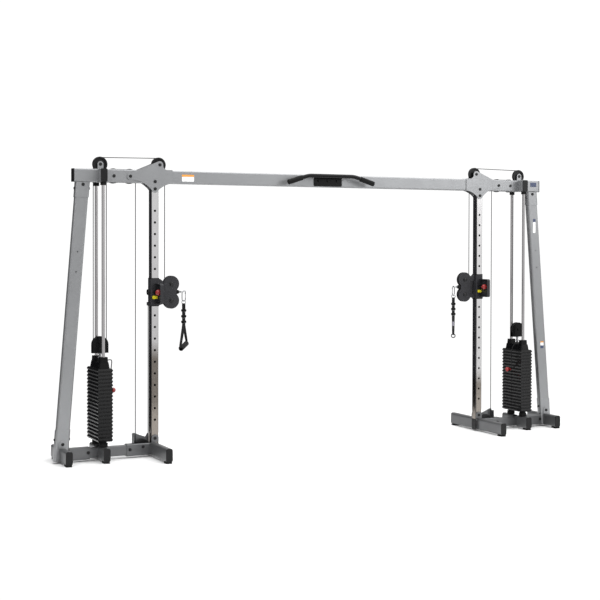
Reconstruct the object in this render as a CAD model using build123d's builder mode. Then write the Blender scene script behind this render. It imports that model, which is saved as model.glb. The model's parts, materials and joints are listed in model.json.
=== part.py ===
from build123d import *
import math
import os

# Cable crossover machine: two weight-stack towers joined by a crossbeam.
# Frame: +X along the crossbeam, -Y towards the user, +Z up. The origin is on the floor,
# midway between the towers. Millimetres. The right-hand tower is modelled and mirrored in X = 0.

os.makedirs("parts", exist_ok=True)

# ---- driving dimensions ----
HOLE_PITCH = 88.9          # 3.5 in between the height-adjustment holes
TOP_HOLE_Z = 1882.7
HOLE_COUNT = 19
COLUMN_HOLE_R = 7.2
LATCHED_HOLE = 7           # hole, counted from the top, that the carriage is latched in
COLUMN_X = 1490.0
COLUMN = 60.0              # square column, outside
STACK_X = 1917.0           # middle of the weight stack and its guide rods
ROD_Y = 86.0
INNER_FOOT_X = 1503.0
OUTER_FOOT_X = 2211.0
BEAM_Z = 2142.0            # middle of the crossbeam and of the two headers
BEAM_H = 100.0
BEAM_D = 60.0
GAP = 0.3                  # between pieces of different bodies
WALL = 3.0

# ---- pulleys and cable ----
CABLE_R = 3.0
WRAP_R = 51.0              # cable centreline round every pulley
PULLEY_R = 57.0
PULLEY_W = 22.0
AXLE_R = 6.0
BORE_R = 6.08
FRONT_CABLE_X = COLUMN_X - 89.0
INNER_TOP = (FRONT_CABLE_X + WRAP_R, 2235.0)
OUTER_TOP = (STACK_X, 2228.0)
STACK_PULLEY = (STACK_X, 873.0)
HEADER_B = (STACK_X - 2 * WRAP_R, BEAM_Z)
HEADER_A = (1687.0, BEAM_Z)
BASE_PULLEY = (HEADER_A[0] - 2 * WRAP_R, 81.0)
ANCHOR_X = BASE_PULLEY[0] - WRAP_R
PIN_Z = TOP_HOLE_Z - LATCHED_HOLE * HOLE_PITCH
UPPER_PULLEY = (FRONT_CABLE_X - WRAP_R, PIN_Z + 61.0)
LOWER_PULLEY = (FRONT_CABLE_X - WRAP_R, PIN_Z - 67.0)

# ---- base ----
PAD_T = 12.0
FOOT_H = 100.0
FOOT_W = 52.0
FOOT_TOP = PAD_T + FOOT_H
FOOT_MID = PAD_T + FOOT_H / 2
RAIL_BOTTOM, RAIL_TOP = 15.0, 107.0
RAIL_D = 60.0
FOOT_ROUND = 17.0

# ---- leaning outer leg ----
LEG_TOP_X, LEG_BOTTOM_X = 2053.0, 2214.6   # on the header's underside and on the foot's top
LEG_W, LEG_D = 100.0, 50.8
LEG_SLOPE = (LEG_BOTTOM_X - LEG_TOP_X) / (BEAM_Z - BEAM_H / 2 - FOOT_TOP)
SOCKET_TOP_Z, SOCKET_BOTTOM_Z = 1978.0, 247.0
SOCKET_FACE = LEG_D / 2 + 4
SIDE_BOLT_Z = (2045.0, 175.0)
EAR_T = 6.0

# ---- weight stack ----
PLATE_W, PLATE_D, PLATE_T, PLATE_PITCH = 118.0, 284.0, 26.87, 27.17
STACK_BOTTOM = 156.0
PLATE_COUNT, LIFTED = 20, 7
ROD_R = 12.5
STEM_R = 11.0
SELECTOR_R = 4.5
STACK_TOP = STACK_BOTTOM + PLATE_COUNT * PLATE_PITCH
SELECTED_Z = STACK_TOP - (LIFTED - 0.5) * PLATE_PITCH

# ---- carriage ----
SLEEVE = 70.0
CARRIAGE_HALF = 108.0
FLANGE_T = 6.0
SWIVEL_X = COLUMN_X - 63.0
HOUSING_R = 63.0
HOOK_X = UPPER_PULLEY[0] - 110.0

SIDES = {"right": 1, "left": -1}


def save(name, part):
    part.label = name
    export_step(part, f"parts/{name}.step")


def save_pair(name, part):
    """The piece as built for the right tower, and its mirror image for the left one."""
    save(f"{name}_right", part)
    with BuildPart() as twin:
        mirror(part, about=Plane.YZ)
    save(f"{name}_left", twin.part)


def disc_y(x, z, radius, y_from, y_to):
    """A cylinder along Y."""
    with BuildPart() as disc:
        with BuildSketch(Plane.XZ.offset(-y_from)):
            with Locations((x, z)):
                Circle(radius)
        extrude(amount=y_from - y_to)
    return disc.part


def disc_z(x, y, radius, z_from, z_to):
    """A cylinder along Z."""
    with BuildPart() as disc:
        with BuildSketch(Plane.XY.offset(z_from)):
            with Locations((x, y)):
                Circle(radius)
        extrude(amount=z_to - z_from)
    return disc.part


def disc_x(y, z, radius, x_from, x_to):
    """A cylinder along X."""
    with BuildPart() as disc:
        with BuildSketch(Plane.YZ.offset(x_from)):
            with Locations((y, z)):
                Circle(radius)
        extrude(amount=x_to - x_from)
    return disc.part


def block(x, y, z):
    """A box between pairs of coordinates."""
    with BuildPart() as box:
        with Locations(((x[0] + x[1]) / 2, (y[0] + y[1]) / 2, (z[0] + z[1]) / 2)):
            Box(abs(x[1] - x[0]), abs(y[1] - y[0]), abs(z[1] - z[0]))
    return box.part


def tube(plane, width, height, length, wall, corner):
    """A rounded box section along a plane's normal. A wall of 0 makes it solid."""
    with BuildPart() as section:
        with BuildSketch(plane):
            RectangleRounded(width, height, corner)
            if wall:
                inner = max(corner - wall, 1.0)
                RectangleRounded(width - 2 * wall, height - 2 * wall, inner, mode=Mode.SUBTRACT)
        extrude(amount=length)
    return section.part


def along_x(x_from, x_to, z_mid, depth, height, wall, corner):
    plane = Plane(origin=(x_from, 0, z_mid), x_dir=(0, 1, 0), z_dir=(1, 0, 0))
    return tube(plane, depth, height, x_to - x_from, wall, corner)


def along_y(x_mid, z_mid, y_from, y_to, width, height, wall, corner):
    along = (0, math.copysign(1, y_to - y_from), 0)
    plane = Plane(origin=(x_mid, y_from, z_mid), x_dir=(1, 0, 0), z_dir=along)
    return tube(plane, width, height, abs(y_to - y_from), wall, corner)


def leaning(z_from, z_to, width, depth, wall, corner):
    """A stretch of the leaning leg's section, cut off level at both heights."""
    direction = Vector(LEG_SLOPE, 0, -1).normalized()
    start = Vector(LEG_TOP_X - 60 * LEG_SLOPE, 0, BEAM_Z - BEAM_H / 2 + 60)
    plane = Plane(origin=start, x_dir=Vector(1, 0, LEG_SLOPE).normalized(), z_dir=direction)
    whole = tube(plane, width, depth, 2200, wall, corner)
    with BuildPart() as stretch:
        add(whole)
        add(block((1900, 2400), (-60, 60), (z_from, z_to)), mode=Mode.INTERSECT)
    return stretch.part


def bolt(x, z, face, shank=5.0, spacer_from=None, spacer_r=10.0):
    """A bolt along Y through two faces at +-face: domed head in front, nut behind.
    A spacer sleeve, where given, fills from spacer_from out to just inside the faces."""
    washer, head_r, head_t, nut_r, nut_t = 1.6, 11.0, 6.5, 10.0, 8.0
    with BuildPart() as made:
        add(disc_y(x, z, shank, -face - 1, face + 1))
        for side in (1, -1):
            add(disc_y(x, z, head_r + 1.5, side * face, side * (face + washer)))
        add(disc_y(x, z, head_r, -face - washer, -face - washer - head_t))
        front = made.faces().sort_by(Axis.Y)[0]
        fillet(front.edges(), 2.5)
        with BuildSketch(Plane.XZ.offset(-face - washer)):
            with Locations((x, z)):
                RegularPolygon(nut_r, 6)
        extrude(amount=-nut_t)
    return made.part


def leg_middle(z):
    """X of the leaning leg's middle at a height."""
    return LEG_TOP_X + LEG_SLOPE * (BEAM_Z - BEAM_H / 2 - z)


def side_bolt(z):
    """A bolt along X through the leg, with a domed head just off each leaning face."""
    middle, face = leg_middle(z), (LEG_W / 2 + 4) * math.hypot(1, LEG_SLOPE) + 0.9
    with BuildPart() as made:
        add(disc_x(0, z, 5.0, middle - face - 1, middle + face + 1))
        for side in (1, -1):
            add(disc_x(0, z, 9.5, middle + side * face, middle + side * (face + 6.5)))
        tips = made.faces().filter_by(Axis.X).sort_by(Axis.X)
        fillet([tips[0].edges()[0], tips[-1].edges()[0]], 2.5)
    return made.part


def axle(x, z, face, reach):
    """A pulley axle: a bolt with a spacer each side that holds the pulley in the middle."""
    with BuildPart() as made:
        add(bolt(x, z, face, shank=AXLE_R))
        if reach > PULLEY_W / 2 + 2:
            for side in (1, -1):
                add(disc_y(x, z, 10.0, side * (PULLEY_W / 2 + 0.8), side * (reach - 0.2)))
    return made.part


def holes_y(points, radius, reach):
    """Solid bars along Y, for cutting bolt holes."""
    with BuildPart() as bars:
        for x, z in points:
            add(disc_y(x, z, radius, -reach, reach))
    return bars.part


def pulley(x, z):
    """A grooved wheel on a Y axis: rim, web, hub and bore."""
    half, rim_half, web_half = PULLEY_W / 2, 10.0, 4.0
    groove = CABLE_R + 0.4
    with BuildPart() as wheel:
        with BuildSketch(Plane.XY) as section:
            with BuildLine():
                Polyline(
                    (BORE_R, -half), (15, -half), (17, -web_half), (41, -web_half), (44, -rim_half),
                    (PULLEY_R, -rim_half), (PULLEY_R, -rim_half + 2.5), (WRAP_R, -groove),
                )
                ThreePointArc((WRAP_R, -groove), (WRAP_R - groove, 0), (WRAP_R, groove))
                Polyline(
                    (WRAP_R, groove), (PULLEY_R, rim_half - 2.5), (PULLEY_R, rim_half), (44, rim_half),
                    (41, web_half), (17, web_half), (15, half), (BORE_R, half), (BORE_R, -half),
                )
            make_face()
        revolve(axis=Axis.Y)
    with BuildPart() as placed:
        with Locations((x, 0, z)):
            add(wheel.part)
    return placed.part


def cable(*pieces):
    """A round cable along a chain of lines and arcs in the XZ plane."""
    with BuildPart() as run:
        with BuildLine() as path:
            for piece in pieces:
                if len(piece) == 2:
                    Line((piece[0][0], 0, piece[0][1]), (piece[1][0], 0, piece[1][1]))
                else:
                    ThreePointArc(*[(p[0], 0, p[1]) for p in piece])
        start = path.line @ 0
        with BuildSketch(Plane(origin=start, z_dir=path.line % 0)):
            Circle(CABLE_R)
        sweep(path=path.line)
    return run.part


def on_wrap(centre, degrees, radius=WRAP_R):
    a = math.radians(degrees)
    return (centre[0] + radius * math.cos(a), centre[1] + radius * math.sin(a))


def wrap(centre, start, end):
    """The three points of the cable's arc round a pulley."""
    return tuple(on_wrap(centre, d) for d in (start, (start + end) / 2, end))


# ======================= fixed frame, both towers =======================

COLUMN_TOP = BEAM_Z + BEAM_H / 2 - 22
column_bolts = [(COLUMN_X, 2106.0), (COLUMN_X, 2050.0), (COLUMN_X, 141.0)]
hole_heights = [TOP_HOLE_Z - i * HOLE_PITCH for i in range(HOLE_COUNT)]

with BuildPart() as columns:
    with BuildSketch(Plane.XY.offset(RAIL_TOP)):
        with Locations((COLUMN_X, 0)):
            RectangleRounded(COLUMN, COLUMN, 6)
            RectangleRounded(COLUMN - 2 * WALL, COLUMN - 2 * WALL, 3, mode=Mode.SUBTRACT)
    extrude(amount=COLUMN_TOP - RAIL_TOP)
    with BuildSketch(Plane.XZ.offset(COLUMN / 2 - WALL - 2)):
        with Locations(*[(COLUMN_X, z) for z in hole_heights]):
            Circle(COLUMN_HOLE_R)
    extrude(amount=WALL + 4, mode=Mode.SUBTRACT)
    add(holes_y(column_bolts, 5.3, 40), mode=Mode.SUBTRACT)
    mirror(about=Plane.YZ)
save("columns", columns.part)

BEAM_END = COLUMN_X - COLUMN / 2 - 1
with BuildPart() as crossbeam:
    add(along_x(-BEAM_END, BEAM_END, BEAM_Z, BEAM_D, BEAM_H, WALL, 9))
    for side in (1, -1):
        slot_x = (side * (FRONT_CABLE_X - 9), side * (BEAM_END + 1))
        add(block(slot_x, (-14, 14), (BEAM_Z + 40, BEAM_Z + 60)), mode=Mode.SUBTRACT)
        low_x = (side * (FRONT_CABLE_X - 9), side * (FRONT_CABLE_X + 9))
        add(block(low_x, (-9, 9), (BEAM_Z - 60, BEAM_Z - 40)), mode=Mode.SUBTRACT)
save("crossbeam", crossbeam.part)

HEADER_START, HEADER_END = COLUMN_X + COLUMN / 2 + 1, 2121.0
STUB_W, STUB_REACH = 50.8, 105.0
EAR_IN, EAR_OUT = 14.0, 19.0
with BuildPart() as headers:
    add(along_x(HEADER_START, HEADER_END, BEAM_Z, BEAM_D, BEAM_H, WALL, 9))
    add(block((HEADER_A[0] - 37, HEADER_B[0] + 37), (-14, 14), (BEAM_Z + 40, BEAM_Z + 60)), mode=Mode.SUBTRACT)
    for centre, cable_x in ((HEADER_A[0], HEADER_A[0] - WRAP_R), (HEADER_B[0], HEADER_B[0] + WRAP_R)):
        near = min(centre - 38, cable_x - 8), max(centre + 38, cable_x + 8)
        add(block(near, (-14, 14), (BEAM_Z - 60, BEAM_Z - 40)), mode=Mode.SUBTRACT)
    top_slot = (OUTER_TOP[0] - 50, OUTER_TOP[0] + WRAP_R + 9)
    add(block(top_slot, (-13, 13), (BEAM_Z + 40, BEAM_Z + 60)), mode=Mode.SUBTRACT)
    low_slot = (OUTER_TOP[0] + WRAP_R - 8, OUTER_TOP[0] + WRAP_R + 8)
    add(block(low_slot, (-9, 9), (BEAM_Z - 60, BEAM_Z - 40)), mode=Mode.SUBTRACT)
    add(holes_y([HEADER_A, HEADER_B], AXLE_R + 0.3, 40), mode=Mode.SUBTRACT)
    # short cross tubes hold the tops of the guide rods, and ears carry the outer top pulley
    for side in (1, -1):
        add(along_y(STACK_X, BEAM_Z, side * BEAM_D / 2, side * STUB_REACH, STUB_W, BEAM_H, WALL, 9))
    for side in (1, -1):
        with BuildSketch(Plane.XZ.offset(side * (EAR_IN + EAR_OUT) / 2)):
            with Locations(OUTER_TOP):
                Circle(22.5)
            with Locations((STACK_X, (OUTER_TOP[1] + BEAM_Z + BEAM_H / 2) / 2)):
                Rectangle(45, OUTER_TOP[1] - BEAM_Z - BEAM_H / 2)
        extrude(amount=(EAR_OUT - EAR_IN) / 2, both=True)
    add(holes_y([OUTER_TOP], AXLE_R + 0.3, 30), mode=Mode.SUBTRACT)
    for side in (1, -1):
        add(disc_z(STACK_X, side * ROD_Y, ROD_R + 0.2, BEAM_Z - 60, BEAM_Z - 40), mode=Mode.SUBTRACT)
    mirror(about=Plane.YZ)
save("headers", headers.part)

# Front and back gusset plates tie crossbeam, column and header together.
PLATE_IN, PLATE_OUT = 30.3, 36.3
with BuildPart() as gusset_plates:
    with BuildSketch(Plane.XZ.offset(PLATE_IN)) as outline:
        with BuildLine():
            Polyline((1395, 2197), (1352, 2197), (1349, 2194), (1349, 2097), (1352, 2094))
            ThreePointArc((1352, 2094), (1412, 2076), (1463, 2041))
            ThreePointArc((1463, 2041), (1490, 2021.5), (1517, 2041))
            ThreePointArc((1517, 2041), (1592, 2098), (1682, 2116))
            ThreePointArc((1682, 2116), (1714, 2141), (1690, 2167))
            ThreePointArc((1690, 2167), (1575, 2213), (1466, 2259))
            ThreePointArc((1466, 2259), (1438, 2258), (1425, 2232))
            ThreePointArc((1425, 2232), (1416, 2207), (1395, 2197))
        make_face()
    extrude(amount=PLATE_OUT - PLATE_IN)
    mirror(about=Plane.XZ)
    plate_bolts = [column_bolts[0], column_bolts[1], HEADER_A, INNER_TOP]
    add(holes_y(plate_bolts, AXLE_R + 0.3, 40), mode=Mode.SUBTRACT)
    mirror(about=Plane.YZ)
save("gusset_plates", gusset_plates.part)

upper_leg_bolt, lower_leg_bolt = [(leg_middle(z), z) for z in (2073.6, 142.7)]
leg_bolts = [upper_leg_bolt, lower_leg_bolt]
leg_marks = [(leg_middle(z), z) for z in (1572.6, 1421.4)]
BEAM_BOTTOM = BEAM_Z - BEAM_H / 2
with BuildPart() as outer_legs:
    add(leaning(FOOT_TOP + 4, BEAM_BOTTOM - 4, LEG_W, LEG_D, WALL, 12))
    add(holes_y(leg_bolts + leg_marks, 5.3, 40), mode=Mode.SUBTRACT)
    for z in SIDE_BOLT_Z:
        add(disc_x(0, z, 5.3, 1950, 2350), mode=Mode.SUBTRACT)
    mirror(about=Plane.YZ)
save("outer_legs", outer_legs.part)

with BuildPart() as leg_sockets:
    for low, high in ((SOCKET_TOP_Z, BEAM_BOTTOM), (RAIL_BOTTOM, SOCKET_BOTTOM_Z)):
        add(leaning(low, high, LEG_W + 8, LEG_D + 8, 3.6, 15))
    # rounded ears front and back, standing on the foot
    with BuildSketch(Plane.XZ.offset(SOCKET_FACE)) as leg_ear:
        with Locations(lower_leg_bolt):
            Circle(29)
        with Locations((lower_leg_bolt[0], (lower_leg_bolt[1] + FOOT_TOP) / 2)):
            Rectangle(58, lower_leg_bolt[1] - FOOT_TOP)
        with Locations((lower_leg_bolt[0], FOOT_TOP - 20)):
            Rectangle(80, 40, mode=Mode.SUBTRACT)
    extrude(amount=EAR_T)
    with BuildSketch(Plane.XZ.offset(-SOCKET_FACE - EAR_T)):
        add(leg_ear.sketch.moved(Location((0, 2 * SOCKET_FACE + EAR_T, 0))))
    extrude(amount=EAR_T)
    add(holes_y(leg_bolts, 5.3, 40), mode=Mode.SUBTRACT)
    for z in SIDE_BOLT_Z:
        add(disc_x(0, z, 5.3, 1950, 2350), mode=Mode.SUBTRACT)
    mirror(about=Plane.YZ)
save("leg_sockets", leg_sockets.part)

RAIL_MID = (RAIL_BOTTOM + RAIL_TOP) / 2
RAIL_H = RAIL_TOP - RAIL_BOTTOM
rail_bolts = [(2150.0, 66.0), (2016.0, 66.0), (1689.0, 66.0)]
INNER_RAIL_END, OUTER_RAIL_END = 1465.0, 2180.0
socket_room = leaning(0, 130, LEG_W + 8.4, 80, 0, 1)
with BuildPart() as base_rails:
    add(along_x(2003, OUTER_RAIL_END, RAIL_MID, RAIL_D, RAIL_H, 4, 10))
    add(along_x(INNER_RAIL_END, 1712, RAIL_MID, RAIL_D, RAIL_H, 4, 10))
    add(block((1522, 1646), (-14, 14), (RAIL_TOP - 8, RAIL_TOP + 4)), mode=Mode.SUBTRACT)
    add(holes_y(rail_bolts, 5.3, 40), mode=Mode.SUBTRACT)
    add(holes_y([BASE_PULLEY], AXLE_R + 0.3, 40), mode=Mode.SUBTRACT)
    # rounded ears front and back of the column's foot
    with BuildSketch(Plane.XZ.offset(PLATE_IN)) as ear_outline:
        with Locations(column_bolts[2]):
            Circle(29)
        with Locations((COLUMN_X, (column_bolts[2][1] + FOOT_TOP) / 2)):
            Rectangle(58, column_bolts[2][1] - FOOT_TOP)
        with Locations((COLUMN_X, FOOT_TOP - 20)):
            Rectangle(80, 40, mode=Mode.SUBTRACT)
        with Locations(column_bolts[2]):
            Circle(5.3, mode=Mode.SUBTRACT)
    extrude(amount=PLATE_OUT - PLATE_IN)
    with BuildSketch(Plane.XZ.offset(-PLATE_OUT)):
        add(ear_outline.sketch.moved(Location((0, PLATE_IN + PLATE_OUT, 0))))
    extrude(amount=PLATE_OUT - PLATE_IN)
    # folded guard behind the base pulley, dipping in the middle
    with BuildSketch(Plane.XZ.offset(-18)):
        with BuildLine():
            Polyline((1523, RAIL_TOP), (1523, 172), (1528, 178), (1536, 176), (1552, 150))
            Line((1552, 150), (1640, 184))
            Polyline((1640, 184), (1652, 184), (1658, 178), (1658, RAIL_TOP), (1523, RAIL_TOP))
        make_face()
    extrude(amount=-3)
    add(block((1655, 1658), (-21, 18), (RAIL_TOP, 170)))
    add(socket_room, mode=Mode.SUBTRACT)
    mirror(about=Plane.YZ)
save("base_rails", base_rails.part)

with BuildPart() as base_beams:
    add(along_x(1650, 2178, RAIL_MID, 49, 77, WALL, 8))
    add(holes_y(rail_bolts, 5.3, 40), mode=Mode.SUBTRACT)
    add(socket_room, mode=Mode.SUBTRACT)
    mirror(about=Plane.YZ)
save("base_beams", base_beams.part)

# Feet: a front and a back half at each of the three places.
OUTER_FOOT_Y, MIDDLE_FOOT_Y, INNER_FOOT_Y, CAP_T = 200.0, 177.0, 381.0, 6.0
with BuildPart() as feet:
    for side in (1, -1):
        near = side * (SOCKET_FACE + 0.2)
        add(along_y(OUTER_FOOT_X, FOOT_MID, near, side * OUTER_FOOT_Y, FOOT_W, FOOT_H, WALL, FOOT_ROUND))
        add(along_y(STACK_X, FOOT_MID, side * 24.5, side * MIDDLE_FOOT_Y, FOOT_W, FOOT_H, WALL, FOOT_ROUND))
        start, end = side * COLUMN / 2, side * INNER_FOOT_Y
        add(along_y(INNER_FOOT_X, FOOT_MID, start, end, FOOT_W, FOOT_H, WALL, FOOT_ROUND))
    for side in (1, -1):
        add(disc_z(STACK_X, side * ROD_Y, ROD_R + 0.2, FOOT_TOP - 8, FOOT_TOP + 4), mode=Mode.SUBTRACT)
    mirror(about=Plane.YZ)
save("feet", feet.part)

with BuildPart() as end_caps:
    for x, reach in ((OUTER_FOOT_X, OUTER_FOOT_Y), (STACK_X, MIDDLE_FOOT_Y), (INNER_FOOT_X, INNER_FOOT_Y)):
        for side in (1, -1):
            add(along_y(x, FOOT_MID, side * reach, side * (reach + CAP_T), FOOT_W, FOOT_H, 0, FOOT_ROUND))
    for side in (1, -1):
        add(along_y(STACK_X, BEAM_Z, side * STUB_REACH, side * (STUB_REACH + 7), STUB_W, BEAM_H, 0, 9))
    add(along_x(HEADER_END, HEADER_END + 8, BEAM_Z, BEAM_D, BEAM_H, 0, 9))
    add(along_x(INNER_RAIL_END - 6, INNER_RAIL_END, RAIL_MID, RAIL_D, RAIL_H, 0, 10))
    mirror(about=Plane.YZ)
save("end_caps", end_caps.part)

# Rubber: floor pads under the feet, cushions under the stacks and stop collars at the rods' tops.
CUSHION_R, COLLAR_R = 33.0, 22.0
with BuildPart() as rubber_pads:
    for x, reach in ((OUTER_FOOT_X, OUTER_FOOT_Y), (STACK_X, MIDDLE_FOOT_Y), (INNER_FOOT_X, INNER_FOOT_Y)):
        for side in (1, -1):
            add(block((x - 21, x + 21), (side * (reach - 60), side * (reach + 3)), (0, PAD_T)))
    for side in (1, -1):
        waist = STACK_BOTTOM - 14
        for radius, low, high in ((CUSHION_R, FOOT_TOP, waist), (CUSHION_R - 8, waist, STACK_BOTTOM - GAP)):
            add(disc_z(STACK_X, side * ROD_Y, radius, low, high))
        add(disc_z(STACK_X, side * ROD_Y, COLLAR_R, BEAM_BOTTOM - 24, BEAM_BOTTOM))
    for side in (1, -1):
        add(disc_z(STACK_X, side * ROD_Y, ROD_R + 0.2, FOOT_TOP - 1, BEAM_BOTTOM + 1), mode=Mode.SUBTRACT)
    mirror(about=Plane.YZ)
save("rubber_pads", rubber_pads.part)

with BuildPart() as guide_rods:
    for side in (1, -1):
        add(disc_z(STACK_X, side * ROD_Y, ROD_R, FOOT_TOP - 6, BEAM_BOTTOM + 6))
    mirror(about=Plane.YZ)
save("guide_rods", guide_rods.part)

with BuildPart() as fasteners:
    for x, z in column_bolts:
        add(bolt(x, z, PLATE_OUT))
    add(axle(*INNER_TOP, PLATE_OUT, PLATE_IN))
    add(axle(*HEADER_A, PLATE_OUT, BEAM_D / 2 - WALL))
    add(axle(*HEADER_B, BEAM_D / 2, BEAM_D / 2 - WALL))
    add(axle(*OUTER_TOP, EAR_OUT, EAR_IN))
    add(axle(*BASE_PULLEY, RAIL_D / 2, RAIL_D / 2 - 4))
    add(bolt(*upper_leg_bolt, SOCKET_FACE))
    add(bolt(*lower_leg_bolt, SOCKET_FACE + EAR_T))
    for z in SIDE_BOLT_Z:
        add(side_bolt(z))
    for x, z in rail_bolts:
        add(bolt(x, z, RAIL_D / 2))
    mirror(about=Plane.YZ)
save("fasteners", fasteners.part)

# ---- pull-up bar on the crossbeam ----
BAR_R, GRIP_R, GRIP_LENGTH = 16.0, 20.5, 128.0
BAR_Y = -100.0
BAR_TOP_Z, BAR_END_Z = 2181.0, 2126.0
BEND_X, BAR_END_X, BEND_R = 210.0, 384.0, 220.0
SHELF_X, SHELF_T = 128.0, 6.0
bar_direction = Vector(BAR_END_X - BEND_X, 0, BAR_END_Z - BAR_TOP_Z).normalized()
with BuildPart() as pullup_bar:
    with BuildSketch(Plane.XZ.offset(BEAM_D / 2)):
        with Locations((0, BAR_TOP_Z + BAR_R - 49)):
            RectangleRounded(2 * SHELF_X, 98, 10)
    extrude(amount=SHELF_T)
    shelf_y = (-BEAM_D / 2 - 1, BAR_Y)
    add(block((-SHELF_X, SHELF_X), shelf_y, (BAR_TOP_Z + BAR_R - SHELF_T, BAR_TOP_Z + BAR_R)))
    for x in (-84, 0, 84):
        add(disc_y(x, 2145, 9.5, -BEAM_D / 2 - SHELF_T, -BEAM_D / 2 - SHELF_T - 7))
    with BuildLine() as bar_path:
        FilletPolyline(
            (-BAR_END_X, BAR_Y, BAR_END_Z), (-BEND_X, BAR_Y, BAR_TOP_Z),
            (BEND_X, BAR_Y, BAR_TOP_Z), (BAR_END_X, BAR_Y, BAR_END_Z), radius=BEND_R,
        )
    with BuildSketch(Plane(origin=bar_path.line @ 0, z_dir=bar_path.line % 0)):
        Circle(BAR_R)
    sweep(path=bar_path.line)
save("pullup_bar", pullup_bar.part)

with BuildPart() as pullup_grips:
    bar_end = Vector(BAR_END_X, BAR_Y, BAR_END_Z)
    with BuildSketch(Plane(origin=bar_end + bar_direction * 6, z_dir=-bar_direction)):
        Circle(GRIP_R)
    extrude(amount=GRIP_LENGTH)
    with BuildSketch(Plane(origin=bar_end, z_dir=-bar_direction)):
        Circle(BAR_R)
    extrude(amount=GRIP_LENGTH, mode=Mode.SUBTRACT)
    mirror(about=Plane.YZ)
save("pullup_grips", pullup_grips.part)

# ======================= pulleys =======================
for name, centre in {
    "inner_top_pulley": INNER_TOP, "outer_top_pulley": OUTER_TOP, "header_pulley_a": HEADER_A,
    "header_pulley_b": HEADER_B, "base_pulley": BASE_PULLEY, "stack_pulley": STACK_PULLEY,
    "upper_swivel_pulley": UPPER_PULLEY, "lower_swivel_pulley": LOWER_PULLEY,
}.items():
    save_pair(name, pulley(*centre))

# ======================= weight stack =======================
def weight_plate(level):
    """One bevelled iron plate, counted from the top, with its rod, stem and selector holes."""
    low = STACK_TOP - (level + 1) * PLATE_PITCH
    bevel = 7.0
    with BuildPart() as plate:
        with BuildSketch(Plane.XY.offset(low)):
            with Locations((STACK_X, 0)):
                Rectangle(PLATE_W - 2 * bevel, PLATE_D - 2 * bevel)
        extrude(amount=PLATE_T / 2, taper=-math.degrees(math.atan2(bevel, PLATE_T / 2)))
        mirror(about=Plane.XY.offset(low + PLATE_T / 2))
        for y, radius in ((-ROD_Y, ROD_R + 1.5), (ROD_Y, ROD_R + 1.5), (0, STEM_R + 1)):
            add(disc_z(STACK_X, y, radius, low - 1, low + PLATE_T + 1), mode=Mode.SUBTRACT)
        bore = disc_x(0, low + PLATE_PITCH / 2, SELECTOR_R + 0.8, STACK_X - PLATE_W / 2 - 1, STACK_X + 20)
        add(bore, mode=Mode.SUBTRACT)
    return plate.part


with BuildPart() as lifted_plates:
    for level in range(LIFTED):
        add(weight_plate(level))
save_pair("lifted_plates", lifted_plates.part)

with BuildPart() as resting_plates:
    for level in range(LIFTED, PLATE_COUNT):
        add(weight_plate(level))
    mirror(about=Plane.YZ)
save("resting_plates", resting_plates.part)

# Head casting on the top plate: sloped base, two bushing towers and the selector stem below it.
HEAD_SADDLE, TOWER_TOP = STACK_TOP + 46, 784.0
CHEEK_IN, CHEEK_OUT, YOKE_BOTTOM, YOKE_R = 15.0, 19.0, 809.0, 62.0
with BuildPart() as stack_head:
    with BuildSketch(Plane.XY.offset(STACK_TOP)):
        with Locations((STACK_X, 0)):
            RectangleRounded(84, 244, 14)
    extrude(amount=HEAD_SADDLE - STACK_TOP, taper=10)
    for side in (1, -1):
        with BuildSketch(Plane.XY.offset(HEAD_SADDLE - 1)):
            with Locations((STACK_X, side * (ROD_Y - 1))):
                RectangleRounded(66, 50, 12)
        extrude(amount=TOWER_TOP - HEAD_SADDLE + 1, taper=4)
    for side in (1, -1):
        add(disc_z(STACK_X, side * ROD_Y, ROD_R + 0.6, STACK_TOP - 1, TOWER_TOP + 1), mode=Mode.SUBTRACT)
    add(disc_z(STACK_X, 0, 8.0, HEAD_SADDLE - 4, 809))
    with BuildSketch(Plane.XY.offset(HEAD_SADDLE)):
        with Locations((STACK_X, 0)):
            Circle(20)
    extrude(amount=16, taper=25)
    add(disc_z(STACK_X, 0, STEM_R, STACK_BOTTOM + 6, STACK_TOP + 2))
    for level in range(PLATE_COUNT):
        z = STACK_TOP - (level + 0.5) * PLATE_PITCH
        add(disc_x(0, z, SELECTOR_R + 0.08, STACK_X - 20, STACK_X + 20), mode=Mode.SUBTRACT)
    # yoke of the stack pulley, on the neck bolt
    for side in (1, -1):
        with BuildSketch(Plane.XZ.offset(side * (CHEEK_IN + CHEEK_OUT) / 2)):
            with Locations(STACK_PULLEY):
                Circle(YOKE_R)
            with Locations((STACK_X, (STACK_PULLEY[1] + YOKE_BOTTOM) / 2)):
                Rectangle(2 * YOKE_R, STACK_PULLEY[1] - YOKE_BOTTOM)
            with Locations((STACK_X, YOKE_BOTTOM - 30)):
                Rectangle(160, 60, mode=Mode.SUBTRACT)
        extrude(amount=(CHEEK_OUT - CHEEK_IN) / 2, both=True)
    add(block((STACK_X - YOKE_R, STACK_X + YOKE_R), (-CHEEK_OUT, CHEEK_OUT), (YOKE_BOTTOM, YOKE_BOTTOM + 5)))
    add(bolt(*STACK_PULLEY, CHEEK_OUT, shank=AXLE_R))
save_pair("stack_head", stack_head.part)

KNOB_R = 19.0
SELECTOR_KNOB_X = STACK_X - PLATE_W / 2 - 45
with BuildPart() as selector_pin:
    add(disc_x(0, SELECTED_Z, SELECTOR_R, SELECTOR_KNOB_X, STACK_X + 16))
    add(disc_x(0, SELECTED_Z, 9.0, SELECTOR_KNOB_X + 24, SELECTOR_KNOB_X + 34))
    with Locations((SELECTOR_KNOB_X, 0, SELECTED_Z)):
        Sphere(KNOB_R)
save_pair("selector_pin", selector_pin.part)

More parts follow.
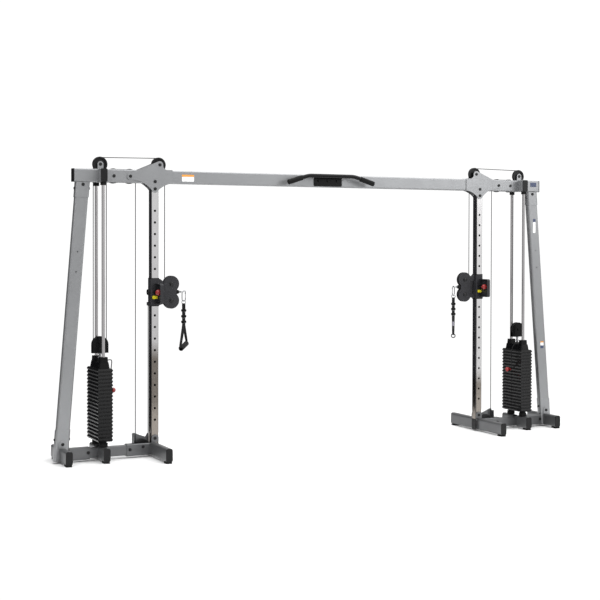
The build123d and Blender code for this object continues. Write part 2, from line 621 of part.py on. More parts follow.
# Lanyard: a free cord from the head's tower down to the selector pin's collar.
LANYARD_R = 3.5
COLLAR_MID = SELECTOR_KNOB_X + 29
KNOT_Y, KNOT_Z = -24.0, 26.5               # last bend, from the pin's axis
to_knot = Vector(0, KNOT_Y, KNOT_Z).normalized() * 9.3
LANYARD_POINTS = [
    (STACK_X - 33.2, -86, 760), (STACK_X - 62, -78, 766), (STACK_X - 76, -58, 744),
    (STACK_X - 79, -34, 709), (STACK_X - 79.5, -21, 663), (STACK_X - 78, -21.5, 618),
    (STACK_X - 76, -33, 576), (COLLAR_MID, KNOT_Y, SELECTED_Z + KNOT_Z),
    (COLLAR_MID, to_knot.Y, SELECTED_Z + to_knot.Z),
]
turns = []
for before, here, after in zip(LANYARD_POINTS, LANYARD_POINTS[1:], LANYARD_POINTS[2:]):
    run_in, run_out = Vector(*here) - Vector(*before), Vector(*after) - Vector(*here)
    half_turn = math.radians(run_in.get_angle(run_out)) / 2
    turns.append(0.45 * min(run_in.length, run_out.length) / math.tan(half_turn))
print("lanyard radii", [round(r) for r in turns])
with BuildPart() as lanyard:
    with BuildLine() as lanyard_path:
        FilletPolyline(*LANYARD_POINTS, radius=turns)
    with BuildSketch(Plane(origin=lanyard_path.line @ 0, z_dir=lanyard_path.line % 0)):
        Circle(LANYARD_R)
    sweep(path=lanyard_path.line)
print("lanyard length", lanyard_path.wire().length, lanyard.part.volume / (math.pi * LANYARD_R**2))
save_pair("lanyard", lanyard.part)

# ======================= carriage =======================
SLEEVE_LOW, SLEEVE_HIGH = PIN_Z - CARRIAGE_HALF + FLANGE_T, PIN_Z + CARRIAGE_HALF - FLANGE_T
SLEEVE_FACE = COLUMN_X - SLEEVE / 2
ARM_HALF_Y = 13.5
MOUTH_LOW, MOUTH_HIGH = PIN_Z - 61.0, PIN_Z + 47.0
with BuildPart() as carriage:
    with BuildSketch(Plane.XY.offset(SLEEVE_LOW)):
        with Locations((COLUMN_X, 0)):
            RectangleRounded(SLEEVE, SLEEVE, 8)
            Rectangle(SLEEVE - 7, SLEEVE - 7, mode=Mode.SUBTRACT)
    extrude(amount=SLEEVE_HIGH - SLEEVE_LOW)
    # C-shaped pivot bracket on the inner side
    with BuildSketch(Plane.XZ.offset(ARM_HALF_Y)):
        with BuildLine():
            Polyline(
                (SLEEVE_FACE, SLEEVE_LOW), (SLEEVE_FACE, SLEEVE_HIGH), (SLEEVE_FACE - 14, SLEEVE_HIGH - 2),
                (SWIVEL_X - 8, PIN_Z + 84), (SWIVEL_X - 13.5, PIN_Z + 76), (SWIVEL_X - 13.5, MOUTH_HIGH),
                (SWIVEL_X + 17, MOUTH_HIGH), (SWIVEL_X + 17, MOUTH_LOW), (SWIVEL_X - 13.5, MOUTH_LOW),
                (SWIVEL_X - 13.5, PIN_Z - 84), (SWIVEL_X - 8, PIN_Z - 92), (SLEEVE_FACE - 14, SLEEVE_LOW + 2),
                (SLEEVE_FACE, SLEEVE_LOW),
            )
        make_face()
    extrude(amount=-2 * ARM_HALF_Y)
    add(disc_z(SWIVEL_X, 0, 8.06, MOUTH_LOW - 30, MOUTH_HIGH + 30), mode=Mode.SUBTRACT)
    # lug for the cable's anchored end, on the outer side
    add(block((COLUMN_X + SLEEVE / 2, ANCHOR_X + 9), (-9, 9), (SLEEVE_LOW, SLEEVE_LOW + 26)))
    # pin bore through the front wall
    add(disc_y(COLUMN_X, PIN_Z, 9.2, -SLEEVE / 2 - 2, -SLEEVE / 2 + 6), mode=Mode.SUBTRACT)

# Folded guard beside the latch knob. It is the same part on both towers, not a mirror image.
GUARD_REACH, GUARD_HALF, GUARD_ROUND, GUARD_T = 118.0, 77.0, 16.0, 3.0
GUARD_X, GUARD_DEPTH = 24.5, 25.0          # web's offset from the column's middle, and its flanges
for name, side in SIDES.items():
    web_x = side * COLUMN_X + GUARD_X
    guard_plane = Plane.YZ.offset(web_x - GUARD_DEPTH)
    with BuildPart() as knob_guard:
        with BuildSketch(guard_plane):
            with Locations((-SLEEVE / 2 - GUARD_REACH / 2 + 10, PIN_Z - 11)):
                RectangleRounded(GUARD_REACH + 20, 2 * GUARD_HALF, GUARD_ROUND)
        extrude(amount=GUARD_DEPTH + GUARD_T)
        with BuildSketch(guard_plane):
            with Locations((-SLEEVE / 2 - GUARD_REACH / 2 + 10, PIN_Z - 11)):
                RectangleRounded(
                    GUARD_REACH + 20 - 2 * GUARD_T, 2 * (GUARD_HALF - GUARD_T), GUARD_ROUND - GUARD_T
                )
        extrude(amount=GUARD_DEPTH, mode=Mode.SUBTRACT)
        behind = block((web_x - 40, web_x + 40), (-SLEEVE / 2, 60), (PIN_Z - 120, PIN_Z + 120))
        add(behind, mode=Mode.SUBTRACT)
    with BuildPart() as carriage_side:
        if side > 0:
            add(carriage.part)
        else:
            mirror(carriage.part, about=Plane.YZ)
        add(knob_guard.part)
    save(f"carriage_{name}", carriage_side.part)

# Black plastic on the carriage: guide liners with flanges, side adjuster, and the latch's barrel.
LINER = COLUMN + 2 * GAP
with BuildPart() as carriage_fittings:
    liners = ((SLEEVE_HIGH - 40, SLEEVE_HIGH, SLEEVE_HIGH), (SLEEVE_LOW, SLEEVE_LOW + 40, SLEEVE_LOW - FLANGE_T))
    for low, high, flange in liners:
        with BuildSketch(Plane.XY.offset(low)):
            with Locations((COLUMN_X, 0)):
                Rectangle(SLEEVE - 7.1, SLEEVE - 7.1)
        extrude(amount=high - low)
        with BuildSketch(Plane.XY.offset(flange)):
            with Locations((COLUMN_X, 0)):
                RectangleRounded(SLEEVE, SLEEVE, 8)
        extrude(amount=FLANGE_T)
    with BuildSketch(Plane.XY.offset(SLEEVE_LOW - 20)):
        with Locations((COLUMN_X, 0)):
            RectangleRounded(LINER, LINER, 6)
    extrude(amount=300, mode=Mode.SUBTRACT)
    outer_face = COLUMN_X + SLEEVE / 2
    add(disc_x(0, PIN_Z, 22, outer_face, outer_face + 15))
    # the latch's barrel, through the sleeve's front wall
    add(disc_y(COLUMN_X, PIN_Z, 9.0, -SLEEVE / 2 + 3.5, -SLEEVE / 2))
    add(disc_y(COLUMN_X, PIN_Z, 15.0, -SLEEVE / 2, -SLEEVE / 2 - 14))
    add(disc_y(COLUMN_X, PIN_Z, 12.0, -SLEEVE / 2 - 14, -SLEEVE / 2 - 24))
    add(disc_y(COLUMN_X, PIN_Z, 6.08, -10, -80), mode=Mode.SUBTRACT)
save_pair("carriage_fittings", carriage_fittings.part)

LATCH_KNOB_Y, LATCH_KNOB_R = -108.0, 22.5
with BuildPart() as latch_pin:
    add(disc_y(COLUMN_X, PIN_Z, 6.0, -COLUMN / 2 + 9, LATCH_KNOB_Y))
    add(disc_y(COLUMN_X, PIN_Z, 9.0, -SLEEVE / 2 - 25, LATCH_KNOB_Y))
    with Locations((COLUMN_X, LATCH_KNOB_Y, PIN_Z)):
        Sphere(LATCH_KNOB_R)
save_pair("latch_pin", latch_pin.part)

# Swivel housing: two 8-shaped cheeks, spacer web, pivot barrel and its two axles.
HOUSING_IN, HOUSING_OUT = 13.0, 17.0
NOTCH_X = UPPER_PULLEY[0] - 42
with BuildPart() as swivel_housing:
    for side in (1, -1):
        with BuildSketch(Plane.XZ.offset(side * (HOUSING_IN + HOUSING_OUT) / 2)):
            with Locations(UPPER_PULLEY, LOWER_PULLEY):
                Circle(HOUSING_R)
            with Locations(((NOTCH_X + SWIVEL_X - 14) / 2, PIN_Z - 3)):
                Rectangle(SWIVEL_X - 14 - NOTCH_X, 60)
        extrude(amount=(HOUSING_OUT - HOUSING_IN) / 2, both=True)
    web_x = SWIVEL_X - 14
    add(block((web_x - 6, web_x), (-HOUSING_OUT, HOUSING_OUT), (MOUTH_LOW + 8, MOUTH_HIGH - 8)))
    add(block((web_x - 1, SWIVEL_X), (-7, 7), (MOUTH_LOW + 8, MOUTH_HIGH - 8)))
    add(disc_z(SWIVEL_X, 0, 13.0, MOUTH_LOW + GAP + 0.2, MOUTH_HIGH - GAP - 0.2))
    add(disc_z(SWIVEL_X, 0, 8.0, MOUTH_LOW - 28, MOUTH_HIGH + 28))
    for centre in (UPPER_PULLEY, LOWER_PULLEY):
        add(bolt(*centre, HOUSING_OUT, shank=AXLE_R))
save_pair("swivel_housing", swivel_housing.part)

# ======================= handle =======================
# Cable stop with an eye, and the shackle through it; the snap hook, its ring and the strap swing
# from the shackle. The two handles hang at their own headings, not as mirror images.
HOOK_TOP = PIN_Z - 2.0
STOP_X = UPPER_PULLEY[0] - 48
EYE_X, HOOK_X = STOP_X - 28, STOP_X - 59
HOOK_HEADING = {"right": 25.0, "left": 20.0}
GRIP_HEADING = {"right": 57.0, "left": 228.0}
GRIP_TILT = {"right": -4.0, "left": -15.0}
SNAP_HALF, SNAP_WIRE = 40.0, 3.8
SNAP_Z = HOOK_TOP + 7.2 - SNAP_HALF
RING_HALF, RING_RISE, RING_WIRE = 16.0, 15.0, 2.6
RING_Z, GRIP_Z = HOOK_TOP - 81.0, PIN_Z - 423.0
STRAP_TOP, STRAP_SPLIT = RING_Z - RING_RISE + 6.0, RING_Z - 178
GRIP_HALF, HANDLE_R, HANDLE_BORE, STRAP_T, STRAP_W = 64.0, 20.0, 12.5, 4.0, 26.0
BORE_STRAP_LOW, BORE_STRAP_HIGH = 6.0, 9.5     # the webbing lies along the top of the grip's bore


def oval(centre, along, half_length, half_width, wire):
    """An oval ring of round wire: its long axis along a unit vector, or upright if along is None."""
    heading, upright = along
    flat = Vector(math.cos(math.radians(heading)), math.sin(math.radians(heading)), 0)
    normal = flat.cross(Vector(0, 0, 1))
    long_axis = Vector(0, 0, 1) if upright == "tall" else flat
    if upright == "level":
        normal = Vector(0, 0, 1)
    straight = half_length - half_width
    with BuildPart() as link:
        with BuildLine(Plane(origin=centre, x_dir=long_axis, z_dir=normal)) as loop:
            Line((-straight, half_width), (straight, half_width))
            ThreePointArc((straight, half_width), (half_length, 0), (straight, -half_width))
            Line((straight, -half_width), (-straight, -half_width))
            ThreePointArc((-straight, -half_width), (-half_length, 0), (-straight, half_width))
        with BuildSketch(Plane(origin=loop.line @ 0, z_dir=loop.line % 0)):
            Circle(wire)
        sweep(path=loop.line)
    return link.part


with BuildPart() as cable_stop:
    with BuildSketch(Plane.YZ.offset(STOP_X)):
        with Locations((0, HOOK_TOP)):
            Circle(19)
    extrude(amount=-18, taper=20)
    with BuildSketch(Plane.XZ.offset(-3)):
        with Locations((EYE_X, HOOK_TOP)):
            Circle(8.5)
        with Locations((EYE_X + 7, HOOK_TOP)):
            Rectangle(14, 12)
        with Locations((EYE_X, HOOK_TOP)):
            Circle(5, mode=Mode.SUBTRACT)
    extrude(amount=6)
    add(oval(((EYE_X + HOOK_X) / 2, 0, HOOK_TOP), (0, "level"), (EYE_X - HOOK_X) / 2, 14, 3.0))
save_pair("cable_stop", cable_stop.part)

for name, side in SIDES.items():
    hang = Vector(side * HOOK_X, 0, 0)
    heading = math.radians(GRIP_HEADING[name])
    tilt = math.radians(GRIP_TILT[name])
    across = Vector(math.cos(heading), math.sin(heading), 0)
    facing = Vector(-math.sin(heading), math.cos(heading), 0)
    grip_axis = across * math.cos(tilt) + Vector(0, 0, math.sin(tilt))
    grip_middle = hang + Vector(0, 0, GRIP_Z)
    ring_facing = (math.degrees(heading) + 90, "wide")
    with BuildPart() as snap_hook:
        add(oval(hang + Vector(0, 0, SNAP_Z), (HOOK_HEADING[name], "tall"), SNAP_HALF, 17, SNAP_WIRE))
        add(oval(hang + Vector(0, 0, RING_Z), ring_facing, RING_HALF, RING_RISE, RING_WIRE))
    save(f"snap_hook_{name}", snap_hook.part)

    def end_z(reach, lift):
        """Height on the strap's outline above a point of the tilted grip."""
        return GRIP_Z + reach * math.tan(tilt) + lift

    out, inn = GRIP_HALF + 1 + STRAP_T, GRIP_HALF + 1
    with BuildPart() as strap:
        with BuildSketch(Plane(origin=hang, x_dir=across, z_dir=facing * -1)):
            with BuildLine():
                Polyline(
                    (-8, STRAP_TOP), (8, STRAP_TOP), (10, STRAP_SPLIT), (out, end_z(out, 18)),
                    (out, end_z(out, BORE_STRAP_LOW)), (-out, end_z(-out, BORE_STRAP_LOW)),
                    (-out, end_z(-out, 18)), (-10, STRAP_SPLIT), (-8, STRAP_TOP),
                )
            make_face()
            with BuildLine():
                Polyline(
                    (0, STRAP_SPLIT - 20), (inn, end_z(inn, 19)), (inn, end_z(inn, BORE_STRAP_HIGH)),
                    (-inn, end_z(-inn, BORE_STRAP_HIGH)), (-inn, end_z(-inn, 19)), (0, STRAP_SPLIT - 20),
                )
            make_face(mode=Mode.SUBTRACT)
        extrude(amount=STRAP_W / 2, both=True)
        # through the grip's bore the webbing is folded narrow
        strip_z = (BORE_STRAP_LOW + BORE_STRAP_HIGH) / 2
        with BuildSketch(Plane(origin=grip_middle, x_dir=facing, z_dir=grip_axis)):
            Circle(HANDLE_R + 2)
            with Locations((0, strip_z)):
                Rectangle(15, BORE_STRAP_HIGH - BORE_STRAP_LOW, mode=Mode.SUBTRACT)
        extrude(amount=GRIP_HALF + 0.6, both=True, mode=Mode.SUBTRACT)
        for drop in (55, 100, 143):
            with Locations(Plane(origin=hang + Vector(0, 0, STRAP_TOP - drop), x_dir=across, z_dir=(0, 0, 1))):
                Cylinder(20, 13)
        add(oval(hang + Vector(0, 0, RING_Z), ring_facing, RING_HALF, RING_RISE, RING_WIRE + 0.3), mode=Mode.SUBTRACT)
    save(f"strap_{name}", strap.part)
    with BuildPart() as grip:
        with BuildSketch(Plane(origin=grip_middle, x_dir=facing, z_dir=grip_axis)):
            Circle(HANDLE_R)
            Circle(HANDLE_BORE, mode=Mode.SUBTRACT)
        extrude(amount=GRIP_HALF, both=True)
    save(f"grip_{name}", grip.part)

# ======================= cables =======================
with BuildPart() as fixed_cables:
    add(cable(
        wrap(INNER_TOP, 180, 90),
        (on_wrap(INNER_TOP, 90), on_wrap(OUTER_TOP, 90)),
        wrap(OUTER_TOP, 90, 0),
    ))
    add(cable(
        wrap(HEADER_B, 0, 90),
        (on_wrap(HEADER_B, 90), on_wrap(HEADER_A, 90)),
        wrap(HEADER_A, 90, 180),
        (on_wrap(HEADER_A, 180), on_wrap(BASE_PULLEY, 0)),
        (on_wrap(BASE_PULLEY, 0), on_wrap(BASE_PULLEY, -90), on_wrap(BASE_PULLEY, -180)),
    ))
    mirror(about=Plane.YZ)
save("fixed_cables", fixed_cables.part)

with BuildPart() as lift_cables:
    add(cable(
        (on_wrap(OUTER_TOP, 0), on_wrap(STACK_PULLEY, 0)),
        (on_wrap(STACK_PULLEY, 0), on_wrap(STACK_PULLEY, -90), on_wrap(STACK_PULLEY, -180)),
        (on_wrap(STACK_PULLEY, -180), on_wrap(HEADER_B, 0)),
    ))
    mirror(about=Plane.YZ)
save("lift_cables", lift_cables.part)

with BuildPart() as carriage_cables:
    add(cable(
        (on_wrap(INNER_TOP, 180), on_wrap(UPPER_PULLEY, 0)),
        wrap(UPPER_PULLEY, 0, -90),
        (on_wrap(UPPER_PULLEY, -90), (STOP_X + 0.2, HOOK_TOP + 9)),
    ))
    add(cable((on_wrap(BASE_PULLEY, 180), (ANCHOR_X, SLEEVE_LOW - GAP))))
    mirror(about=Plane.YZ)
save("carriage_cables", carriage_cables.part)
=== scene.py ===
import json
import math

import bmesh
import bpy
from mathutils import Matrix, Vector


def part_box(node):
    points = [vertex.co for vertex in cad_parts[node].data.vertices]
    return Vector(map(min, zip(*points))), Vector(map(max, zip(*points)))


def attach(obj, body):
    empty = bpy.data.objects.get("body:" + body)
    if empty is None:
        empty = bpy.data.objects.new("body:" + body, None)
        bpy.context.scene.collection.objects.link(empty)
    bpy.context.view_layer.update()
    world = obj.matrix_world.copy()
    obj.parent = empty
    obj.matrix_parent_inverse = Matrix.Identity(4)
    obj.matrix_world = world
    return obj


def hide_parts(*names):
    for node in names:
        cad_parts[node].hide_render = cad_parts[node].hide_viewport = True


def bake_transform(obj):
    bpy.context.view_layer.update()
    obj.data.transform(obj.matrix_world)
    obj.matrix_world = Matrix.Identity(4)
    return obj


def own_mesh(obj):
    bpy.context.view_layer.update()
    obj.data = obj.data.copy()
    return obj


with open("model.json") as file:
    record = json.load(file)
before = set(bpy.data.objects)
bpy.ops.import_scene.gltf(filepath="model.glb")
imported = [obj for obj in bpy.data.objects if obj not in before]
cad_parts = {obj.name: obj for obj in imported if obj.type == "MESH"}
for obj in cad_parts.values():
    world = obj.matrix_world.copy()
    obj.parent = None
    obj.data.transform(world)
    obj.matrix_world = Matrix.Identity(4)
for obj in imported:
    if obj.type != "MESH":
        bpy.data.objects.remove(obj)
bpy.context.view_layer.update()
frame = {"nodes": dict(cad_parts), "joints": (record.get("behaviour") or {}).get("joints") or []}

nodes = frame["nodes"]
SIDES = {"right": 1, "left": -1}
X, Y, Z = Vector((1, 0, 0)), Vector((0, 1, 0)), Vector((0, 0, 1))

# Joint positions name every pulley's centre, the swivels and the shackles.
AT = {joint["name"]: Vector(joint.get("pos_m") or (0, 0, 0)) for joint in frame["joints"]}


def mid_height(node):
    low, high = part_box(node)
    return (low.z + high.z) / 2


# Sizes of the right-hand tower, which the left one mirrors.
SELECTOR_Z, LATCH_Z = mid_height("selector_pin_right"), mid_height("latch_pin_right")
COLUMN_X, COLUMN_HALF, COLUMN_BORE_HALF = 1.49, 0.03, 0.0298
HOLES, HOLE_PITCH, TOP_HOLE_Z = 19, 0.0889, 1.8827
STACK_X, PLATE_HALF = 1.917, 0.059
CABLE_R, WRAP_R = 0.003, 0.051
LATCH_BALL_R, LATCH_PIN_R = 0.0225, 0.0059
SELECTOR_BALL_R, SELECTOR_PIN_R = 0.019, 0.0044

# The radius where a turned profile meets its axis.
AXIS = 0.0001


# ---------------------------------------------------------------- camera

def make_camera():
    """Stands to the left of the machine at eye height, turned 26 degrees to the right."""
    yaw, pitch, roll = math.radians(26.37), math.radians(0.89), math.radians(0.13)
    flat = math.cos(pitch)
    ahead = Vector((math.sin(yaw) * flat, math.cos(yaw) * flat, -math.sin(pitch)))
    level = ahead.cross(Z).normalized()
    upright = level.cross(ahead)
    side = level * math.cos(roll) + upright * math.sin(roll)
    up = upright * math.cos(roll) - level * math.sin(roll)
    data = bpy.data.cameras.new("camera")
    data.lens = 75.68
    data.sensor_width = 36
    data.shift_y = -0.0682
    data.clip_end = 200
    camera = bpy.data.objects.new("camera", data)
    bpy.context.collection.objects.link(camera)
    turn = Matrix((side, up, -ahead)).transposed().to_4x4()
    camera.matrix_world = Matrix.Translation((-4.781, -9.167, 1.666)) @ turn
    bpy.context.scene.camera = camera


# ---------------------------------------------------------------- materials

class Finish:
    """A Principled material whose texture is measured in metres on the object."""

    def __init__(self, name, color, roughness, metallic=0.0, coat=0.0, sheen=0.0):
        self.material = bpy.data.materials.new(name)
        self.material.use_nodes = True
        self.tree = self.material.node_tree
        self.shader = self.tree.nodes["Principled BSDF"]
        self.color = color
        self.set("Base Color", (*color, 1))
        self.set("Roughness", roughness)
        self.set("Metallic", metallic)
        self.set("Coat Weight", coat)
        self.set("Sheen Weight", sheen)
        self.place = self.tree.nodes.new("ShaderNodeTexCoord").outputs["Object"]

    def set(self, socket, value):
        self.shader.inputs[socket].default_value = value

    def add(self, kind, **inputs):
        node = self.tree.nodes.new(kind)
        for name, value in inputs.items():
            socket = node.inputs[name]
            if isinstance(value, bpy.types.NodeSocket):
                self.tree.links.new(value, socket)
            else:
                socket.default_value = value
        return node

    def noise(self, scale, detail=3.0, stretch=(1, 1, 1)):
        """Cloudy noise, with scale waves to the metre."""
        mapping = self.add("ShaderNodeMapping", Vector=self.place, Scale=stretch)
        made = self.add("ShaderNodeTexNoise", Vector=mapping.outputs[0], Scale=scale, Detail=detail)
        return made.outputs["Fac"]

    def waves(self, scale, axis, turn=0.0):
        """Even ridges across one axis."""
        mapping = self.add("ShaderNodeMapping", Vector=self.place, Rotation=(0, 0, turn))
        made = self.add("ShaderNodeTexWave", Vector=mapping.outputs[0], Scale=scale)
        made.bands_direction = axis
        return made.outputs["Fac"]

    def ramp(self, factor, low, high, dark, light):
        """Carries the stretch low..high of a factor over to dark..light."""
        made = self.add("ShaderNodeMapRange", Value=factor)
        for socket, value in zip(("From Min", "From Max", "To Min", "To Max"), (low, high, dark, light)):
            made.inputs[socket].default_value = value
        return made.outputs[0]

    def tint(self, factor, dark, light):
        """Colour between two multiples of the base colour."""
        colors = [(*[min(1.0, v * share) for v in self.color], 1) for share in (dark, light)]
        mixed = self.mix(factor, *colors)
        self.tree.links.new(mixed, self.shader.inputs["Base Color"])
        return mixed

    def mix(self, factor, first, second):
        """A colour between two others, each a value or a socket."""
        made = self.tree.nodes.new("ShaderNodeMix")
        made.data_type = "RGBA"
        self.tree.links.new(factor, made.inputs["Factor"])
        for name, value in (("A", first), ("B", second)):
            socket = next(s for s in made.inputs if s.type == "RGBA" and s.name == name)
            if isinstance(value, bpy.types.NodeSocket):
                self.tree.links.new(value, socket)
            else:
                socket.default_value = value
        return next(s for s in made.outputs if s.type == "RGBA")

    def math(self, operation, *values):
        made = self.tree.nodes.new("ShaderNodeMath")
        made.operation = operation
        for socket, value in zip(made.inputs, values):
            if isinstance(value, bpy.types.NodeSocket):
                self.tree.links.new(value, socket)
            else:
                socket.default_value = value
        return made.outputs[0]

    def gloss(self, factor, low, high):
        self.tree.links.new(self.ramp(factor, 0.3, 0.7, low, high), self.shader.inputs["Roughness"])

    def bump(self, factor, depth, strength=1.0):
        made = self.add("ShaderNodeBump", Height=factor, Strength=strength, Distance=depth)
        self.tree.links.new(made.outputs[0], self.shader.inputs["Normal"])


def silver_paint(name="silver_paint", shade=1.0):
    made = Finish(name, (0.29 * shade, 0.295 * shade, 0.303 * shade), 0.38, metallic=0.65, coat=0.05)
    made.set("Coat Roughness", 0.2)
    made.tint(made.noise(900, 2), 0.86, 1.14)
    made.gloss(made.noise(14, 4), 0.32, 0.42)
    made.bump(made.noise(420, 2), 0.00004)
    return made.material


def silver_base_shaded():
    """The silver paint on the base tubes, made darker as painted shade."""
    return silver_paint("silver_base_shaded", 0.46)


def charcoal_paint():
    made = Finish("charcoal_paint", (0.024, 0.024, 0.027), 0.45)
    made.set("Specular IOR Level", 0.25)
    made.tint(made.noise(700, 3), 0.9, 1.15)
    made.gloss(made.noise(30, 4), 0.4, 0.5)
    made.bump(made.noise(900, 3), 0.00005)
    return made.material


def chrome():
    made = Finish("chrome", (0.58, 0.565, 0.57), 0.12, metallic=1.0)
    made.gloss(made.noise(60, 4, (1, 1, 0.06)), 0.08, 0.16)
    made.tint(made.noise(8, 3), 0.94, 1.04)
    return made.material


def chrome_tube():
    """Chrome outside, darkened brownish low down as a painted reflection, and painted shade on the inner
    walls that show in the holes: they are near-black and not metallic.
    """
    made = Finish("chrome_tube", (0.74, 0.73, 0.735), 0.16, metallic=1.0)
    axes = made.add("ShaderNodeSeparateXYZ", Vector=made.place).outputs
    from_origin = made.math("ABSOLUTE", axes[0])
    from_middle = made.math("ABSOLUTE", made.math("SUBTRACT", from_origin, COLUMN_X))
    reach = made.math("MAXIMUM", from_middle, made.math("ABSOLUTE", axes[1]))
    outside = made.math("GREATER_THAN", reach, COLUMN_BORE_HALF)
    plated = made.tint(made.noise(8, 3), 0.95, 1.03)
    # Painted reflection: below a slanted height the chrome turns dark brownish, standing in for the
    # brownish surroundings it reflects.
    across = made.math("MULTIPLY_ADD", axes[0], 0.114, axes[2])
    painted_reflection_low = made.ramp(across, 0.58, 0.72, 1.0, 0.0)
    plated = made.mix(painted_reflection_low, plated, (0.25, 0.225, 0.20, 1))
    # Painted shade: the bore's inner walls, which show in the holes, are near-black and not metallic.
    color = made.mix(outside, (0.004, 0.004, 0.004, 1), plated)
    made.tree.links.new(color, made.shader.inputs["Base Color"])
    made.tree.links.new(outside, made.shader.inputs["Metallic"])
    made.gloss(made.noise(60, 4, (1, 1, 0.06)), 0.13, 0.2)
    return made.material


def zinc():
    made = Finish("zinc", (0.34, 0.345, 0.355), 0.24, metallic=1.0)
    made.gloss(made.noise(300, 3), 0.2, 0.36)
    made.tint(made.noise(150, 3), 0.9, 1.08)
    return made.material


def black_oxide():
    made = Finish("black_oxide", (0.006, 0.006, 0.0065), 0.34)
    made.set("Specular IOR Level", 0.35)
    made.gloss(made.noise(250, 3), 0.3, 0.5)
    made.bump(made.noise(1200, 2), 0.00005)
    return made.material


def cast_black():
    made = Finish("cast_black", (0.0025, 0.0025, 0.0028), 0.28)
    made.set("Specular IOR Level", 0.17)
    made.tint(made.noise(120, 4), 0.75, 1.5)
    made.gloss(made.noise(80, 4), 0.22, 0.32)
    made.bump(made.noise(650, 4), 0.00003)
    return made.material


def black_plastic():
    made = Finish("black_plastic", (0.006, 0.006, 0.0065), 0.36)
    made.set("Specular IOR Level", 0.25)
    made.tint(made.noise(400, 3), 0.8, 1.3)
    made.gloss(made.noise(50, 3), 0.34, 0.46)
    made.bump(made.noise(1500, 2), 0.00004)
    return made.material


def rubber():
    made = Finish("rubber", (0.006, 0.006, 0.006), 0.7)
    made.set("Specular IOR Level", 0.15)
    made.tint(made.noise(200, 4), 0.8, 1.5)
    made.bump(made.noise(900, 4), 0.00015)
    return made.material


def foam():
    made = Finish("foam", (0.008, 0.008, 0.0085), 0.85, sheen=0.03)
    made.set("Specular IOR Level", 0.2)
    made.tint(made.noise(600, 4), 0.7, 1.7)
    made.bump(made.noise(1400, 3), 0.0003)
    return made.material


def cable_coat():
    made = Finish("cable_coat", (0.012, 0.012, 0.013), 0.35)
    made.set("Specular IOR Level", 0.3)
    made.tint(made.noise(500, 2), 0.8, 1.3)
    made.bump(made.noise(700, 2, (1, 1, 0.3)), 0.00005)
    return made.material


def red_knob():
    made = Finish("red_knob", (0.27, 0.013, 0.013), 0.3, coat=0.2)
    made.tint(made.noise(90, 3), 0.85, 1.2)
    made.gloss(made.noise(140, 3), 0.24, 0.4)
    made.bump(made.noise(1000, 2), 0.00003)
    return made.material


def webbing():
    made = Finish("webbing", (0.008, 0.008, 0.0085), 0.8, sheen=0.04)
    made.set("Specular IOR Level", 0.25)
    weave = made.waves(420, "Z")
    made.tint(weave, 0.6, 1.9)
    made.bump(weave, 0.0004)
    return made.material


def vinyl(name, color):
    made = Finish(name, color, 0.35)
    made.tint(made.noise(60, 2), 0.94, 1.05)
    made.gloss(made.noise(90, 3), 0.3, 0.42)
    return made.material


def yellow_vinyl():
    return vinyl("yellow_vinyl", (0.92, 0.80, 0.03))


def grey_vinyl():
    return vinyl("grey_vinyl", (0.19, 0.18, 0.22))


def white_vinyl():
    return vinyl("white_vinyl", (0.88, 0.88, 0.88))


def orange_vinyl():
    return vinyl("orange_vinyl", (0.80, 0.32, 0.05))


def navy_vinyl():
    return vinyl("navy_vinyl", (0.045, 0.06, 0.12))


MATERIALS = {make.__name__: make() for make in (
    silver_paint, silver_base_shaded, charcoal_paint, chrome, chrome_tube, zinc, black_oxide, cast_black,
    black_plastic, rubber, foam, cable_coat, red_knob, webbing,
    yellow_vinyl, grey_vinyl, white_vinyl, orange_vinyl, navy_vinyl,
)}

# Which finish each CAD node's material slots take.
NODE_FINISH = {
    "silver_paint": ("crossbeam", "headers", "gusset_plates", "outer_legs", "leg_sockets"),
    # The base tubes take the silver paint darkened as painted shade.
    "silver_base_shaded": ("base_rails", "base_beams", "feet"),
    "chrome": ("guide_rods",),
    "chrome_tube": ("columns",),
    "charcoal_paint": ("carriage", "swivel_housing"),
    "black_oxide": ("fasteners",),
    "cast_black": ("resting_plates", "lifted_plates", "stack_head", "pullup_bar"),
    "black_plastic": ("end_caps", "carriage_fittings", "inner_top_pulley", "outer_top_pulley",
                      "header_pulley_a", "header_pulley_b", "base_pulley", "stack_pulley",
                      "upper_swivel_pulley", "lower_swivel_pulley"),
    "rubber": ("rubber_pads", "pullup_grips"),
}


def dress_nodes():
    """Every CAD node that stays in view gets its finish."""
    for finish, names in NODE_FINISH.items():
        for node, piece in nodes.items():
            plain = node.removesuffix("_right").removesuffix("_left")
            if plain in names:
                piece.data.materials.clear()
                piece.data.materials.append(MATERIALS[finish])


# ---------------------------------------------------------------- mesh helpers

def piece(name, vertices, faces, finish, body, slot, replaces=(), smooth=True):
    """A finished mesh that rides on a body and may stand for CAD nodes."""
    mesh = bpy.data.meshes.new(name)
    mesh.from_pydata([tuple(v) for v in vertices], [], faces)
    mesh.validate()
    tidy = bmesh.new()
    tidy.from_mesh(mesh)
    bmesh.ops.recalc_face_normals(tidy, faces=tidy.faces)
    tidy.to_mesh(mesh)
    tidy.free()
    mesh.materials.append(MATERIALS[finish])
    made = bpy.data.objects.new(name, mesh)
    bpy.context.collection.objects.link(made)
    if smooth:
        mesh.shade_smooth()
        mesh.set_sharp_from_angle(angle=math.radians(38))
    if body:
        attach(made, body)
    if replaces:
        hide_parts(*replaces)
    return made


def frames(points, up=None):
    """A sideways and an upright direction at each point, carried along the route without twist."""
    tangents = []
    for i in range(len(points)):
        before, after = points[max(i - 1, 0)], points[min(i + 1, len(points) - 1)]
        tangents.append((after - before).normalized())
    seed = up or (Z if abs(tangents[0].z) < 0.9 else Y)
    side = tangents[0].cross(seed).normalized()
    found = []
    for tangent in tangents:
        side = (side - tangent * side.dot(tangent)).normalized()
        found.append((side, side.cross(tangent).normalized()))
    return found


